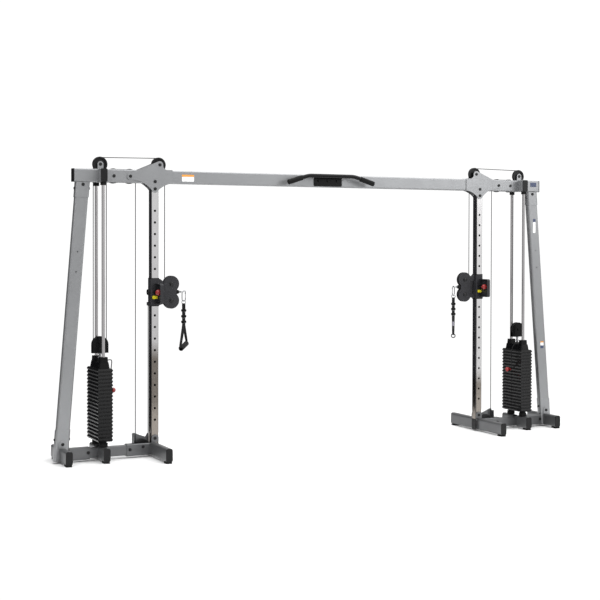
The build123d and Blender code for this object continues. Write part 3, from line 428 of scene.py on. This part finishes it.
def swept(points, section, closed=False, up=None):
    """Vertices and faces of a section, given as (sideways, upright) pairs, carried along points."""
    vertices, faces = [], []
    count = len(section)
    for here, (side, upright) in zip(points, frames(points, up)):
        vertices += [here + side * a + upright * b for a, b in section]
    rings = len(points)
    for i in range(rings if closed else rings - 1):
        j = (i + 1) % rings
        for k in range(count):
            m = (k + 1) % count
            faces.append((i * count + k, i * count + m, j * count + m, j * count + k))
    if not closed:
        faces.append(tuple(range(count)))
        faces.append(tuple((rings - 1) * count + k for k in reversed(range(count))))
    return vertices, faces


def circle(radius, sides=16):
    return [(radius * math.cos(a), radius * math.sin(a))
            for a in (math.tau * k / sides for k in range(sides))]


def lathe(profile, origin, axis, sides=48):
    """Vertices and faces of a (radius, height) profile turned about an axis through origin."""
    turn = axis.to_track_quat("Z", "Y").to_matrix()
    vertices, faces = [], []
    for radius, height in profile:
        for a in (math.tau * k / sides for k in range(sides)):
            local = Vector((radius * math.cos(a), radius * math.sin(a), height))
            vertices.append(origin + turn @ local)
    for i in range(len(profile) - 1):
        for k in range(sides):
            m = (k + 1) % sides
            faces.append((i * sides + k, i * sides + m, (i + 1) * sides + m, (i + 1) * sides + k))
    for i in (0, len(profile) - 1):
        if profile[i][0] > 1e-6 and profile[0] != profile[-1]:
            faces.append(tuple(i * sides + k for k in range(sides)))
    return vertices, faces


def arc(centre, radius, start, end, steps=24):
    """Points on an upright arc in the XZ plane, angles in degrees from +X towards +Z."""
    angles = (math.radians(start + (end - start) * i / steps) for i in range(steps + 1))
    return [centre + Vector((radius * math.cos(a), 0, radius * math.sin(a))) for a in angles]


def straight(start, end, steps=1):
    return [start.lerp(end, i / steps) for i in range(steps + 1)]


def join_routes(*routes):
    """Routes end to end, without the doubled points where they meet."""
    joined = []
    for route in routes:
        joined += [p for p in route if not joined or (p - joined[-1]).length > 1e-5]
    return joined


def flip(point, side):
    """A point of the right-hand tower, carried over to the given side."""
    return Vector((point[0] * side, point[1], point[2]))


# ---------------------------------------------------------------- lanyards

def make_lanyard(name, side):
    """The cord from the stack head's tower down to the selector pin's collar."""
    collar_x = STACK_X - PLATE_HALF - 0.016
    route = [
        (STACK_X - 0.0332, -0.086, 0.760), (STACK_X - 0.062, -0.078, 0.766),
        (STACK_X - 0.076, -0.058, 0.744), (STACK_X - 0.079, -0.034, 0.709),
        (STACK_X - 0.0795, -0.021, 0.663), (STACK_X - 0.078, -0.0215, 0.618),
        (STACK_X - 0.076, -0.033, 0.576), (collar_x, -0.024, SELECTOR_Z + 0.0265),
        (collar_x, -0.00624, SELECTOR_Z + 0.00689),
    ]
    data = bpy.data.curves.new(f"lanyard_cord_{name}", "CURVE")
    data.dimensions = "3D"
    spline = data.splines.new("NURBS")
    spline.points.add(len(route) - 1)
    for knot, place in zip(spline.points, route):
        knot.co = (*flip(place, side), 1)
    spline.order_u = 3
    spline.use_endpoint_u = True
    data.resolution_u = 16
    data.bevel_depth = 0.0035
    data.bevel_resolution = 5
    data.use_fill_caps = True
    data.materials.append(MATERIALS["webbing"])
    cord = bpy.data.objects.new(f"lanyard_cord_{name}", data)
    bpy.context.collection.objects.link(cord)
    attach(cord, f"stack_{name}")
    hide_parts(f"lanyard_{name}")


make_camera()
for name, side in SIDES.items():
    make_lanyard(name, side)
dress_nodes()


# ---------------------------------------------------------------- pulley cables

def cable_piece(name, route, body, replaces):
    vertices, faces = swept(route, circle(CABLE_R), up=Y)
    return piece(name, vertices, faces, "cable_coat", body, "cable", replaces)


def stretch_evenly(made, start, end):
    """Bakes a cable's place into its mesh and works out each vertex's share of the way from start to end;
    the shares are not used.
    """
    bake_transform(made)
    along = end - start
    spots = ((v.co - start).dot(along) / along.length_squared for v in made.data.vertices)
    shares = [min(1, max(0, spot)) for spot in spots]


def make_cables(name, side):
    """One closed route: stop, carriage, top pulleys, stack, header, base and back to the carriage."""
    def centre(pulley):
        return AT[f"{pulley}_spin_{name}"]

    def turned(start, end):
        """Right-hand angles, mirrored on the left."""
        return (start, end) if side > 0 else (180 - start, 180 - end)

    def wrap(pulley, start, end):
        return arc(centre(pulley), WRAP_R, *turned(start, end))

    inner, outer = centre("inner_top_pulley"), centre("outer_top_pulley")
    stack, base = centre("stack_pulley"), centre("base_pulley")
    head_a, head_b = centre("header_pulley_a"), centre("header_pulley_b")
    upper = centre("upper_swivel_pulley")
    out = X * side * WRAP_R
    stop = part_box(f"cable_stop_{name}")
    stop_x = stop[0].x if side < 0 else stop[1].x
    hook_z = AT[f"handle_swing_{name}"].z

    rise = Z * WRAP_R
    over = join_routes(wrap("inner_top_pulley", 180, 90), straight(inner + rise, outer + rise),
                       wrap("outer_top_pulley", 90, 0))
    cable_piece(f"cable_over_top_{name}", over, "frame", ("fixed_cables",))
    down = join_routes(wrap("header_pulley_b", 0, 90), straight(head_b + rise, head_a + rise),
                       wrap("header_pulley_a", 90, 180), straight(head_a - out, base + out),
                       wrap("base_pulley", 0, -180))
    cable_piece(f"cable_to_base_{name}", down, "frame", ("fixed_cables",))

    for label, start, end in (("outer", outer + out, stack + out), ("inner", head_b + out, stack - out)):
        end = Vector((start.x, 0, stack.z))
        route = straight(start, end, 4)
        run = cable_piece(f"cable_lift_{label}_{name}", route, "frame", ("lift_cables",))
        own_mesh(run)
    bight = wrap("stack_pulley", 0, -180)
    cable_piece(f"cable_bight_{name}", bight, f"stack_{name}", ("lift_cables",))

    # The front run goes from the top pulley down to middle, and the housed run from middle round the
    # swivel pulley to the stop. free and ridden are both heights above the housing's entry.
    carriage, swivel, moving = f"carriage_{name}", f"swivel_{name}", ("carriage_cables",)
    free, ridden = 0.15, 0.03
    top, entry = inner - out, upper + out
    middle = entry + Z * free
    front = cable_piece(f"cable_front_{name}", straight(top, middle, 12), None, moving)
    stretch_evenly(front, top, middle)
    stop_point = Vector((stop_x, 0, hook_z + 0.009))
    tail = join_routes(straight(middle, entry, 10), wrap("upper_swivel_pulley", 0, -90),
                       straight(upper - rise, stop_point))
    housed = cable_piece(f"cable_housed_{name}", tail, None, moving)
    stretch_evenly(housed, middle, entry + Z * ridden)
    low = base - out
    lug = Vector((low.x, 0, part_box(f"carriage_{name}")[0].z + 0.002))
    anchor = cable_piece(f"cable_anchor_{name}", straight(low, lug, 12), None, moving)
    stretch_evenly(anchor, low, lug)


for name, side in SIDES.items():
    make_cables(name, side)


# ---------------------------------------------------------------- knobs and pins

def make_knobs(name, side):
    """Red ball knobs on their steel pins: the carriage latch, and the stack's selector."""
    low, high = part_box(f"latch_pin_{name}")
    centre = Vector(((low.x + high.x) / 2, low.y + LATCH_BALL_R, (low.z + high.z) / 2))
    ball_pin("latch", name, centre, Y, high.y - centre.y, LATCH_BALL_R, LATCH_PIN_R)
    low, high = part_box(f"selector_pin_{name}")
    near, far = (high.x, low.x) if side < 0 else (low.x, high.x)
    centre = Vector((near + side * SELECTOR_BALL_R, 0, SELECTOR_Z))
    reach = abs(far - centre.x)
    ball_pin("selector", name, centre, X * side, reach, SELECTOR_BALL_R, SELECTOR_PIN_R)


def ball_pin(kind, name, centre, axis, reach, ball_r, pin_r):
    """A moulded ball with a parting ridge and a neck, on a pin with a chamfered tip."""
    body, node = f"{kind}_{name}", (f"{kind}_pin_{name}",)
    neck_r, neck_end = 0.0088, 0.0345
    profile = [(AXIS, -ball_r)]
    for i in range(1, 22):
        a = math.pi * i / 24 - math.pi / 2
        ridge = 0.0003 if i == 12 else 0
        profile.append((ball_r * math.cos(a) + ridge, ball_r * math.sin(a)))
    profile += [(neck_r + 0.001, ball_r * 0.92), (neck_r, ball_r + 0.002),
                (neck_r, neck_end - 0.001), (neck_r - 0.001, neck_end), (AXIS, neck_end)]
    vertices, faces = lathe(profile, centre, axis)
    piece(f"knob_{body}", vertices, faces, "red_knob", body, "red_plastic", node)
    root = neck_end - 0.0001
    rod = [(AXIS, root), (pin_r, root), (pin_r, reach - 0.0025), (pin_r - 0.0022, reach), (AXIS, reach)]
    vertices, faces = lathe(rod, centre, axis, 32)
    piece(f"pin_{body}", vertices, faces, "zinc", body, "steel", node)


for name, side in SIDES.items():
    make_knobs(name, side)


# ---------------------------------------------------------------- handles

HOOK_HEADING = {"right": 25.0, "left": 20.0}
GRIP_HEADING = {"right": 57.0, "left": 228.0}
GRIP_TILT = {"right": -4.0, "left": -15.0}
SNAP_HALF, SNAP_WIDTH, SNAP_WIRE = 0.040, 0.017, 0.0036
RING_DROP, RING_HALF, RING_RISE, RING_WIRE = 0.081, 0.016, 0.015, 0.0026
GRIP_HALF, GRIP_R, GRIP_BORE = 0.064, 0.0198, 0.0125
WEB_T, WEB_W, WEB_SUNK_W, WEB_NECK_W, WEB_DOUBLED_W = 0.0022, 0.026, 0.015, 0.017, 0.0255
SPLIT_DROP, DOUBLED_HALF, SUNK_RISE = 0.178, 0.0024, 0.012
SLIDER_DROPS = (0.055, 0.100, 0.143)
SLIDER_HALVES = (0.0200, 0.0125, 0.0100)
SLIDER_BAR_DROP = 0.0115


def rounded(corners, radius, steps=6, closed=False):
    """A polyline with its corners turned into arcs of at most the given radius."""
    count = len(corners)
    route = []
    for i, corner in enumerate(corners):
        if not closed and i in (0, count - 1):
            route.append(corner)
            continue
        before, after = corners[i - 1] - corner, corners[(i + 1) % count] - corner
        half = before.angle(after) / 2
        cut = min(radius / math.tan(half), 0.49 * before.length, 0.49 * after.length)
        start, end = corner + before.normalized() * cut, corner + after.normalized() * cut
        bulge = cut * math.tan(half)
        middle = corner + (before.normalized() + after.normalized()).normalized() * (cut / math.cos(half))
        for k in range(steps + 1):
            toward = (start - middle).lerp(end - middle, k / steps).normalized()
            route.append(middle + toward * bulge)
    return route


def oval(centre, long_axis, short_axis, half_length, half_width, steps=14):
    """Points of a flat oval: straight sides with round ends, or round when both halves match."""
    straight_half = half_length - half_width
    points = []
    for sign in (1, -1):
        for k in range(steps + 1):
            a = math.pi * (k / steps - 0.5)
            along = sign * (straight_half + half_width * math.cos(a))
            points.append(centre + long_axis * along + short_axis * (sign * half_width * math.sin(a)))
    return points


def flat_section(width, thickness):
    """A webbing's cross-section with soft edges, as (sideways, upright) pairs."""
    w, t = width / 2, thickness / 2
    edge = thickness * 0.35
    return [(-w + edge, -t), (w - edge, -t), (w, -t + edge), (w, t - edge),
            (w - edge, t), (-w + edge, t), (-w, t - edge), (-w, -t + edge)]


def ribbon(points, widths, thickness, flat):
    """A closed loop of webbing: its width lies along flat, and may change from point to point."""
    vertices, faces = [], []
    total = len(points)
    for i, here in enumerate(points):
        tangent = (points[(i + 1) % total] - points[i - 1]).normalized()
        outward = flat.cross(tangent).normalized()
        vertices += [here + flat * a + outward * b for a, b in flat_section(widths[i], thickness)]
    for i in range(total):
        j = (i + 1) % total
        for k in range(8):
            m = (k + 1) % 8
            faces.append((i * 8 + k, i * 8 + m, j * 8 + m, j * 8 + k))
    return vertices, faces


def soft_block(centre, axes, halves, power=4.0, rings=12, sides=28):
    """A pillow-edged block: a superellipsoid along three axes."""
    def bulged(value):
        return math.copysign(abs(value) ** (2 / power), value)
    vertices, faces = [], []
    for i in range(rings + 1):
        lat = math.pi * (i / rings - 0.5)
        for k in range(sides):
            lon = math.tau * k / sides
            level = bulged(math.cos(lat))
            reach = (level * bulged(math.cos(lon)), level * bulged(math.sin(lon)), bulged(math.sin(lat)))
            steps = (axis * (half * r) for axis, half, r in zip(axes, halves, reach))
            vertices.append(centre + sum(steps, Vector()))
    for i in range(rings):
        for k in range(sides):
            m = (k + 1) % sides
            faces.append((i * sides + k, i * sides + m, (i + 1) * sides + m, (i + 1) * sides + k))
    return vertices, faces


def make_snap_hook(name, hang, body):
    """A carabiner: a bent rod open on one side, closed by a thinner sprung gate."""
    node = (f"snap_hook_{name}",)
    heading = math.radians(HOOK_HEADING[name])
    out = Vector((math.cos(heading), math.sin(heading), 0)) * -SIDES[name]
    across = Z.cross(out)
    centre = hang + Z * (0.0072 - SNAP_HALF)
    reach, rise = SNAP_WIDTH, SNAP_HALF
    nose, hinge = 0.019, -0.021
    corners = [centre + out * a + Z * b for a, b in (
        (reach, hinge), (reach, -rise), (-reach, -rise), (-reach, rise), (reach, rise), (reach, nose))]
    vertices, faces = swept(rounded(corners, SNAP_WIDTH * 0.98, 10), circle(SNAP_WIRE, 14), up=across)
    piece(f"snap_hook_body_{name}", vertices, faces, "zinc", body, "steel", node)
    low, high = (centre + out * reach + Z * level for level in (hinge - 0.001, nose + 0.001))
    vertices, faces = swept(straight(low, high, 4), circle(SNAP_WIRE * 0.72, 12), up=across)
    piece(f"snap_hook_gate_{name}", vertices, faces, "zinc", body, "steel", node)
    for label, end in (("hinge", low + Z * 0.002), ("nose", high - Z * 0.002)):
        rivet = [(AXIS, -0.0052), (0.0014, -0.0052), (0.0018, -0.0047),
                 (0.0018, 0.0047), (0.0014, 0.0052), (AXIS, 0.0052)]
        vertices, faces = lathe(rivet, end, across, 12)
        piece(f"snap_hook_{label}_{name}", vertices, faces, "zinc", body, "steel", node)


class Handle:
    """Where one handle's parts hang, and which way they face."""

    def __init__(self, name):
        self.name, self.body = name, f"handle_{name}"
        self.hang = AT[f"handle_swing_{name}"]
        heading, tilt = math.radians(GRIP_HEADING[name]), math.radians(GRIP_TILT[name])
        self.across = Vector((math.cos(heading), math.sin(heading), 0))
        self.facing = Z.cross(self.across)
        self.grip_axis = self.across * math.cos(tilt) + Z * math.sin(tilt)
        self.grip_up = self.grip_axis.cross(self.facing)
        self.ring = self.hang - Z * RING_DROP
        self.wire = self.ring - Z * RING_RISE
        self.grip = Vector((self.hang.x, 0, mid_height(f"grip_{name}")))


def make_ring(handle):
    """The round wire ring that the strap hangs from."""
    loop = oval(handle.ring, handle.facing, Z, RING_HALF, RING_RISE)
    vertices, faces = swept(loop, circle(RING_WIRE, 12), closed=True, up=handle.across)
    piece(f"handle_ring_{handle.name}", vertices, faces, "zinc", handle.body, "steel",
          (f"snap_hook_{handle.name}",))


def make_strap(handle):
    """A loop of webbing: doubled under the ring, then split, and led through the grip."""
    name, body, node = handle.name, handle.body, (f"strap_{handle.name}",)
    across, facing, grip = handle.across, handle.facing, handle.grip
    grip_axis, grip_up = handle.grip_axis, handle.grip_up
    split = handle.ring - Z * SPLIT_DROP
    inside, end = GRIP_BORE - 0.0048, GRIP_HALF + 0.0035
    bore = [grip + grip_axis * (a * end) + grip_up * inside for a in (1, -1)]
    shoulder = [grip + grip_axis * (a * (end + 0.0005)) + grip_up * 0.021 for a in (1, -1)]
    gap, straight_part = across * DOUBLED_HALF, Z * 0.06
    over_wire, around_wire = handle.wire + Z * 0.0052, across * 0.0045
    corners = [over_wire + around_wire, split + gap + straight_part, split + gap, shoulder[0], bore[0],
               bore[1], shoulder[1], split - gap, split - gap + straight_part, over_wire - around_wire]
    route = rounded(corners, 0.006, 6, closed=True)
    widths = []
    for point in route:
        along, above = (point - grip).dot(grip_axis), (point - grip).dot(grip_up)
        if abs(along) < GRIP_HALF and abs(above) < SUNK_RISE:
            widths.append(WEB_SUNK_W)
        elif point.z < split.z:
            spread = min(1.0, max(0.0, (above - SUNK_RISE) / 0.03))
            widths.append(WEB_NECK_W + (WEB_W - WEB_NECK_W) * spread)
        else:
            widths.append(WEB_DOUBLED_W)
    vertices, faces = ribbon(route, widths, WEB_T, facing)
    piece(f"strap_webbing_{name}", vertices, faces, "webbing", body, "webbing", node)
    make_sliders(handle)

    leg = (split - gap).lerp(shoulder[1], 0.42)
    down = (shoulder[1] - split).normalized()
    outward = facing.cross(down).normalized()
    middle = leg + outward * 0.0014
    vertices, faces = soft_block(middle, (facing, down, outward), (0.0085, 0.020, 0.0008), 8)
    piece(f"strap_patch_{name}", vertices, faces, "grey_vinyl", body, "webbing", node)


def make_sliders(handle):
    """Three moulded blocks on the doubled webbing, each with a wire bar under it."""
    name, body, node = handle.name, handle.body, (f"strap_{handle.name}",)
    for number, drop in enumerate(SLIDER_DROPS, 1):
        middle = handle.wire + Z * (0.006 - drop)
        vertices, faces = soft_block(middle, (handle.facing, handle.across, Z), SLIDER_HALVES)
        piece(f"strap_slider_{number}_{name}", vertices, faces, "rubber", body, "webbing", node)
        bar = middle - Z * SLIDER_BAR_DROP
        loop = oval(bar, handle.facing, handle.across, 0.0165, 0.0052, 8)
        vertices, faces = swept(loop, circle(0.0011, 8), closed=True, up=Z)
        piece(f"strap_bar_{number}_{name}", vertices, faces, "zinc", body, "steel", node)


def make_grip(handle):
    """A tube of foam with rounded ends, on a thin plastic liner."""
    name, body, node = handle.name, handle.body, (f"grip_{handle.name}",)
    r, b, h = GRIP_R, GRIP_BORE, GRIP_HALF
    seat = b + 0.0012
    profile = [(seat, -h + 0.001), (r - 0.004, -h), (r - 0.0012, -h + 0.0012), (r, -h + 0.004),
               (r, h - 0.004), (r - 0.0012, h - 0.0012), (r - 0.004, h), (seat, h - 0.001),
               (seat, -h + 0.001)]
    vertices, faces = lathe(profile, handle.grip, handle.grip_axis)
    piece(f"grip_foam_{name}", vertices, faces, "foam", body, "rubber", node)
    liner = [(b, -h), (b + 0.0008, -h - 0.0002), (seat, -h + 0.0006), (seat, h - 0.0006),
             (b + 0.0008, h + 0.0002), (b, h), (b, -h)]
    vertices, faces = lathe(liner, handle.grip, handle.grip_axis)
    piece(f"grip_liner_{name}", vertices, faces, "black_plastic", body, "rubber", node)


def make_handle(name):
    """Snap hook, ring, a loop of webbing with three moulded sliders, and a foam grip."""
    handle = Handle(name)
    make_snap_hook(name, handle.hang, handle.body)
    make_ring(handle)
    make_strap(handle)
    make_grip(handle)


def make_stop(name, side):
    """The cable's end: a ribbed rubber cone, a steel eye and the shackle through it."""
    body, node = f"swivel_{name}", (f"cable_stop_{name}",)
    hang = AT[f"handle_swing_{name}"]
    eye, start = hang + X * side * 0.031, hang + X * side * 0.059
    away = X * -side
    cone = [(0.0045, 0), (0.0185, 0), (0.019, 0.0008), (0.0178, 0.004), (0.0168, 0.0046),
            (0.0168, 0.0058), (0.0166, 0.0066), (0.0152, 0.0098), (0.0142, 0.0104), (0.0142, 0.0116),
            (0.0140, 0.0124), (0.0126, 0.0170), (0.0118, 0.0180), (AXIS, 0.0180)]
    vertices, faces = lathe(cone, start, away)
    piece(f"stop_cone_{name}", vertices, faces, "rubber", body, "rubber", node)
    ring = [(0.0052, -0.0028), (0.0062, -0.003), (0.0076, -0.003), (0.0084, -0.0022), (0.0084, 0.0022),
            (0.0076, 0.003), (0.0062, 0.003), (0.0052, 0.0028), (0.0052, -0.0028)]
    vertices, faces = lathe(ring, eye, Y, 32)
    piece(f"stop_eye_{name}", vertices, faces, "zinc", body, "steel", node)
    neck = [(AXIS, 0.0176), (0.0052, 0.0176), (0.0052, 0.0202), (0.0044, 0.0212), (AXIS, 0.0212)]
    vertices, faces = lathe(neck, start, away, 24)
    piece(f"stop_neck_{name}", vertices, faces, "zinc", body, "steel", node)
    link = oval(hang.lerp(eye, 0.5), X, Y, 0.0155, 0.014)
    vertices, faces = swept(link, circle(0.0029, 12), closed=True, up=Z)
    piece(f"shackle_{name}", vertices, faces, "zinc", body, "steel", node)


for name, side in SIDES.items():
    make_stop(name, side)
    make_handle(name)


# ---------------------------------------------------------------- small trim

# Blank patches where the machine's labels are: middle, half sizes, and each colour's stretch, top down.
PATCHES = (
    ("beam", (-1.220, -0.0303, 2.138), (0.050, 0.0265),
     (("orange_vinyl", 0.0, 0.3), ("white_vinyl", 0.3, 1.0))),
    ("header", (2.062, -0.0303, 2.157), (0.033, 0.019), (("navy_vinyl", 0.0, 1.0),)),
    ("leg_upper", (2.0785, -0.0257, 1.791), (0.0140, 0.062),
     (("navy_vinyl", 0.0, 0.22), ("white_vinyl", 0.22, 1.0))),
    ("leg_lower", (2.1700, -0.0257, 0.729), (0.0165, 0.031),
     (("orange_vinyl", 0.0, 0.18), ("white_vinyl", 0.18, 0.6), ("navy_vinyl", 0.6, 1.0))),
)
SCREW_R, SCREW_REACH, HOUSING_FACE_Y = 0.0170, 0.0086, -0.0171
NECK_FOOT_DROP = 0.1645


def slab(name, centre, halves, finish, body, slot):
    """A thin plate with softened edges, its faces square to the frame."""
    half_x, half_y, half_z = halves
    vertices, faces = soft_block(centre, (X, Z, Y), (half_x, half_z, half_y), 14, 14, 40)
    return piece(name, vertices, faces, finish, body, slot)


def make_carriage_patch(name, side):
    """The small yellow patch on the carriage's front, below the latch."""
    middle = Vector((side * 1.491, -0.0352, LATCH_Z - 0.040))
    slab(f"carriage_patch_{name}", middle, (0.020, 0.0006, 0.0115), "yellow_vinyl",
         f"carriage_{name}", "black_paint")


def make_label_patches():
    """Each patch is one or more bands of colour, one above the other."""
    for label, middle, (half_x, half_z), bands in PATCHES:
        for number, (finish, top, bottom) in enumerate(bands, 1):
            band = Vector(middle) + Z * (half_z * (1 - top - bottom))
            halves = (half_x, 0.0005, half_z * (bottom - top))
            slab(f"patch_{label}_{number}", band, halves, finish, "frame", "silver_paint")


def make_housing_screw(which, name):
    """A domed socket-head screw on a wide washer, over a swivelling pulley's axle."""
    centre = AT[f"{which}_swivel_pulley_spin_{name}"]
    r, t = SCREW_R, SCREW_REACH
    profile = [(r, -0.0002), (r + 0.0004, 0.0004), (r + 0.0004, 0.0013), (r - 0.0002, 0.0018),
               (r - 0.0028, 0.0019), (r - 0.0029, 0.0046), (r - 0.0036, t - 0.0022),
               (r - 0.0062, t - 0.0002), (0.0056, t), (0.0050, t - 0.0006), (0.0047, t - 0.0044),
               (AXIS, t - 0.0046)]
    vertices, faces = lathe(profile, Vector((centre.x, HOUSING_FACE_Y, centre.z)), -Y, 40)
    piece(f"housing_screw_{which}_{name}", vertices, faces, "black_oxide", f"swivel_{name}", "steel")


def make_hole_shade_rims(name, side):
    """Painted shade: a thin dark ring round each of the column's adjustment holes, so the dark openings
    look wider.
    """
    section = [(0.0071, 0.00005), (0.0089, 0.00005), (0.0093, 0.00012), (0.0089, 0.0002),
               (0.0073, 0.0002), (0.0071, 0.00012), (0.0071, 0.00005)]
    vertices, faces = [], []
    for i in range(HOLES):
        hole = Vector((side * COLUMN_X, -COLUMN_HALF, TOP_HOLE_Z - i * HOLE_PITCH))
        ring, around = lathe(section, hole, -Y, 24)
        faces += [tuple(v + len(vertices) for v in face) for face in around]
        vertices += ring
    piece(f"hole_shade_rims_{name}", vertices, faces, "rubber", "frame", "steel")


def make_neck(name):
    """The plated nuts and bolt between the stack's head and the pulley's yoke."""
    stack = AT[f"stack_pulley_spin_{name}"]
    profile = [(0.0085, 0.0), (0.0140, 0.0004), (0.0150, 0.0014), (0.0150, 0.0100), (0.0140, 0.0110),
               (0.0092, 0.0114), (0.0092, 0.0300), (0.0132, 0.0304), (0.0140, 0.0312),
               (0.0140, 0.0374), (0.0132, 0.0382), (0.0085, 0.0386), (0.0085, 0.0)]
    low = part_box(f"stack_head_{name}")[1].z - NECK_FOOT_DROP
    vertices, faces = lathe(profile, Vector((stack.x, 0, low)), Z, 6)
    piece(f"neck_nuts_{name}", vertices, faces, "zinc", f"stack_{name}", "steel", smooth=False)


for name, side in SIDES.items():
    make_carriage_patch(name, side)
make_label_patches()
for name, side in SIDES.items():
    make_hole_shade_rims(name, side)
    make_neck(name)
    for which in ("upper", "lower"):
        make_housing_screw(which, name)


# ---------------------------------------------------------------- floor and light

# Each lamp's name, place, aim, size and power.
LIGHTS = (
    ("key", (5.5, -6.0, 4.5), (0, 0, 1.2), 4.0, 150),
    ("fill", (-6.0, -5.0, 4.5), (-1, 0, 1.2), 2.5, 90),
    ("top", (0.0, -0.4, 5.6), (0, 0, 0), 9.0, 480),
)


def make_floor():
    """A sheet of white paper under the machine."""
    mesh = bpy.data.meshes.new("floor")
    mesh.from_pydata([(-3.4, -2.6, 0), (3.4, -2.6, 0), (3.4, 1.1, 0), (-3.4, 1.1, 0)], [], [(0, 1, 2, 3)])
    floor = bpy.data.objects.new("floor", mesh)
    bpy.context.collection.objects.link(floor)
    paper = Finish("paper", (0.93, 0.93, 0.93), 0.9)
    floor.data.materials.append(paper.material)


def make_world():
    """White to the camera. Reflections see a brighter patch front right and a dark one back left."""
    world = bpy.data.worlds.new("studio")
    bpy.context.scene.world = world
    world.use_nodes = True
    tree = world.node_tree
    place = tree.nodes.new("ShaderNodeTexCoord").outputs["Generated"]
    studio = tree.nodes["Background"]

    def toward(direction):
        """How far a direction of view points along the given one."""
        made = tree.nodes.new("ShaderNodeVectorMath")
        made.operation = "DOT_PRODUCT"
        made.inputs[1].default_value = direction
        tree.links.new(place, made.inputs[0])
        return made.outputs["Value"]

    bright = tree.nodes.new("ShaderNodeMapRange")
    tree.links.new(toward((0.74, -0.67, 0.6)), bright.inputs["Value"])
    for socket, value in (("From Min", 0.78), ("From Max", 1.0), ("To Min", 0.58), ("To Max", 0.98)):
        bright.inputs[socket].default_value = value
    tree.links.new(bright.outputs[0], studio.inputs["Strength"])

    dark = tree.nodes.new("ShaderNodeValToRGB")
    stops = ((0.86, (1, 1, 1, 1)), (0.93, (0.03, 0.03, 0.035, 1)))
    for stop, (position, color) in zip(dark.color_ramp.elements, stops):
        stop.position = position
        stop.color = color
    tree.links.new(toward((-0.444, 0.896, 0)), dark.inputs[0])
    tree.links.new(dark.outputs[0], studio.inputs["Color"])

    backdrop = tree.nodes.new("ShaderNodeBackground")
    backdrop.inputs["Color"].default_value = (1, 1, 1, 1)
    backdrop.inputs["Strength"].default_value = 1.05
    kind = tree.nodes.new("ShaderNodeLightPath")
    either = tree.nodes.new("ShaderNodeMixShader")
    tree.links.new(kind.outputs["Is Camera Ray"], either.inputs[0])
    tree.links.new(studio.outputs[0], either.inputs[1])
    tree.links.new(backdrop.outputs[0], either.inputs[2])
    tree.links.new(either.outputs[0], tree.nodes["World Output"].inputs["Surface"])
    bpy.context.scene.view_settings.view_transform = "Standard"


def make_lights():
    """Square area lamps, each turned to face what it aims at."""
    for label, place, aim, size, power in LIGHTS:
        data = bpy.data.lights.new(label, "AREA")
        data.size = size
        data.energy = power
        lamp = bpy.data.objects.new(label, data)
        lamp.location = place
        lamp.rotation_euler = (Vector(place) - Vector(aim)).to_track_quat("Z", "Y").to_euler()
        bpy.context.collection.objects.link(lamp)


make_floor()
make_world()
make_lights()
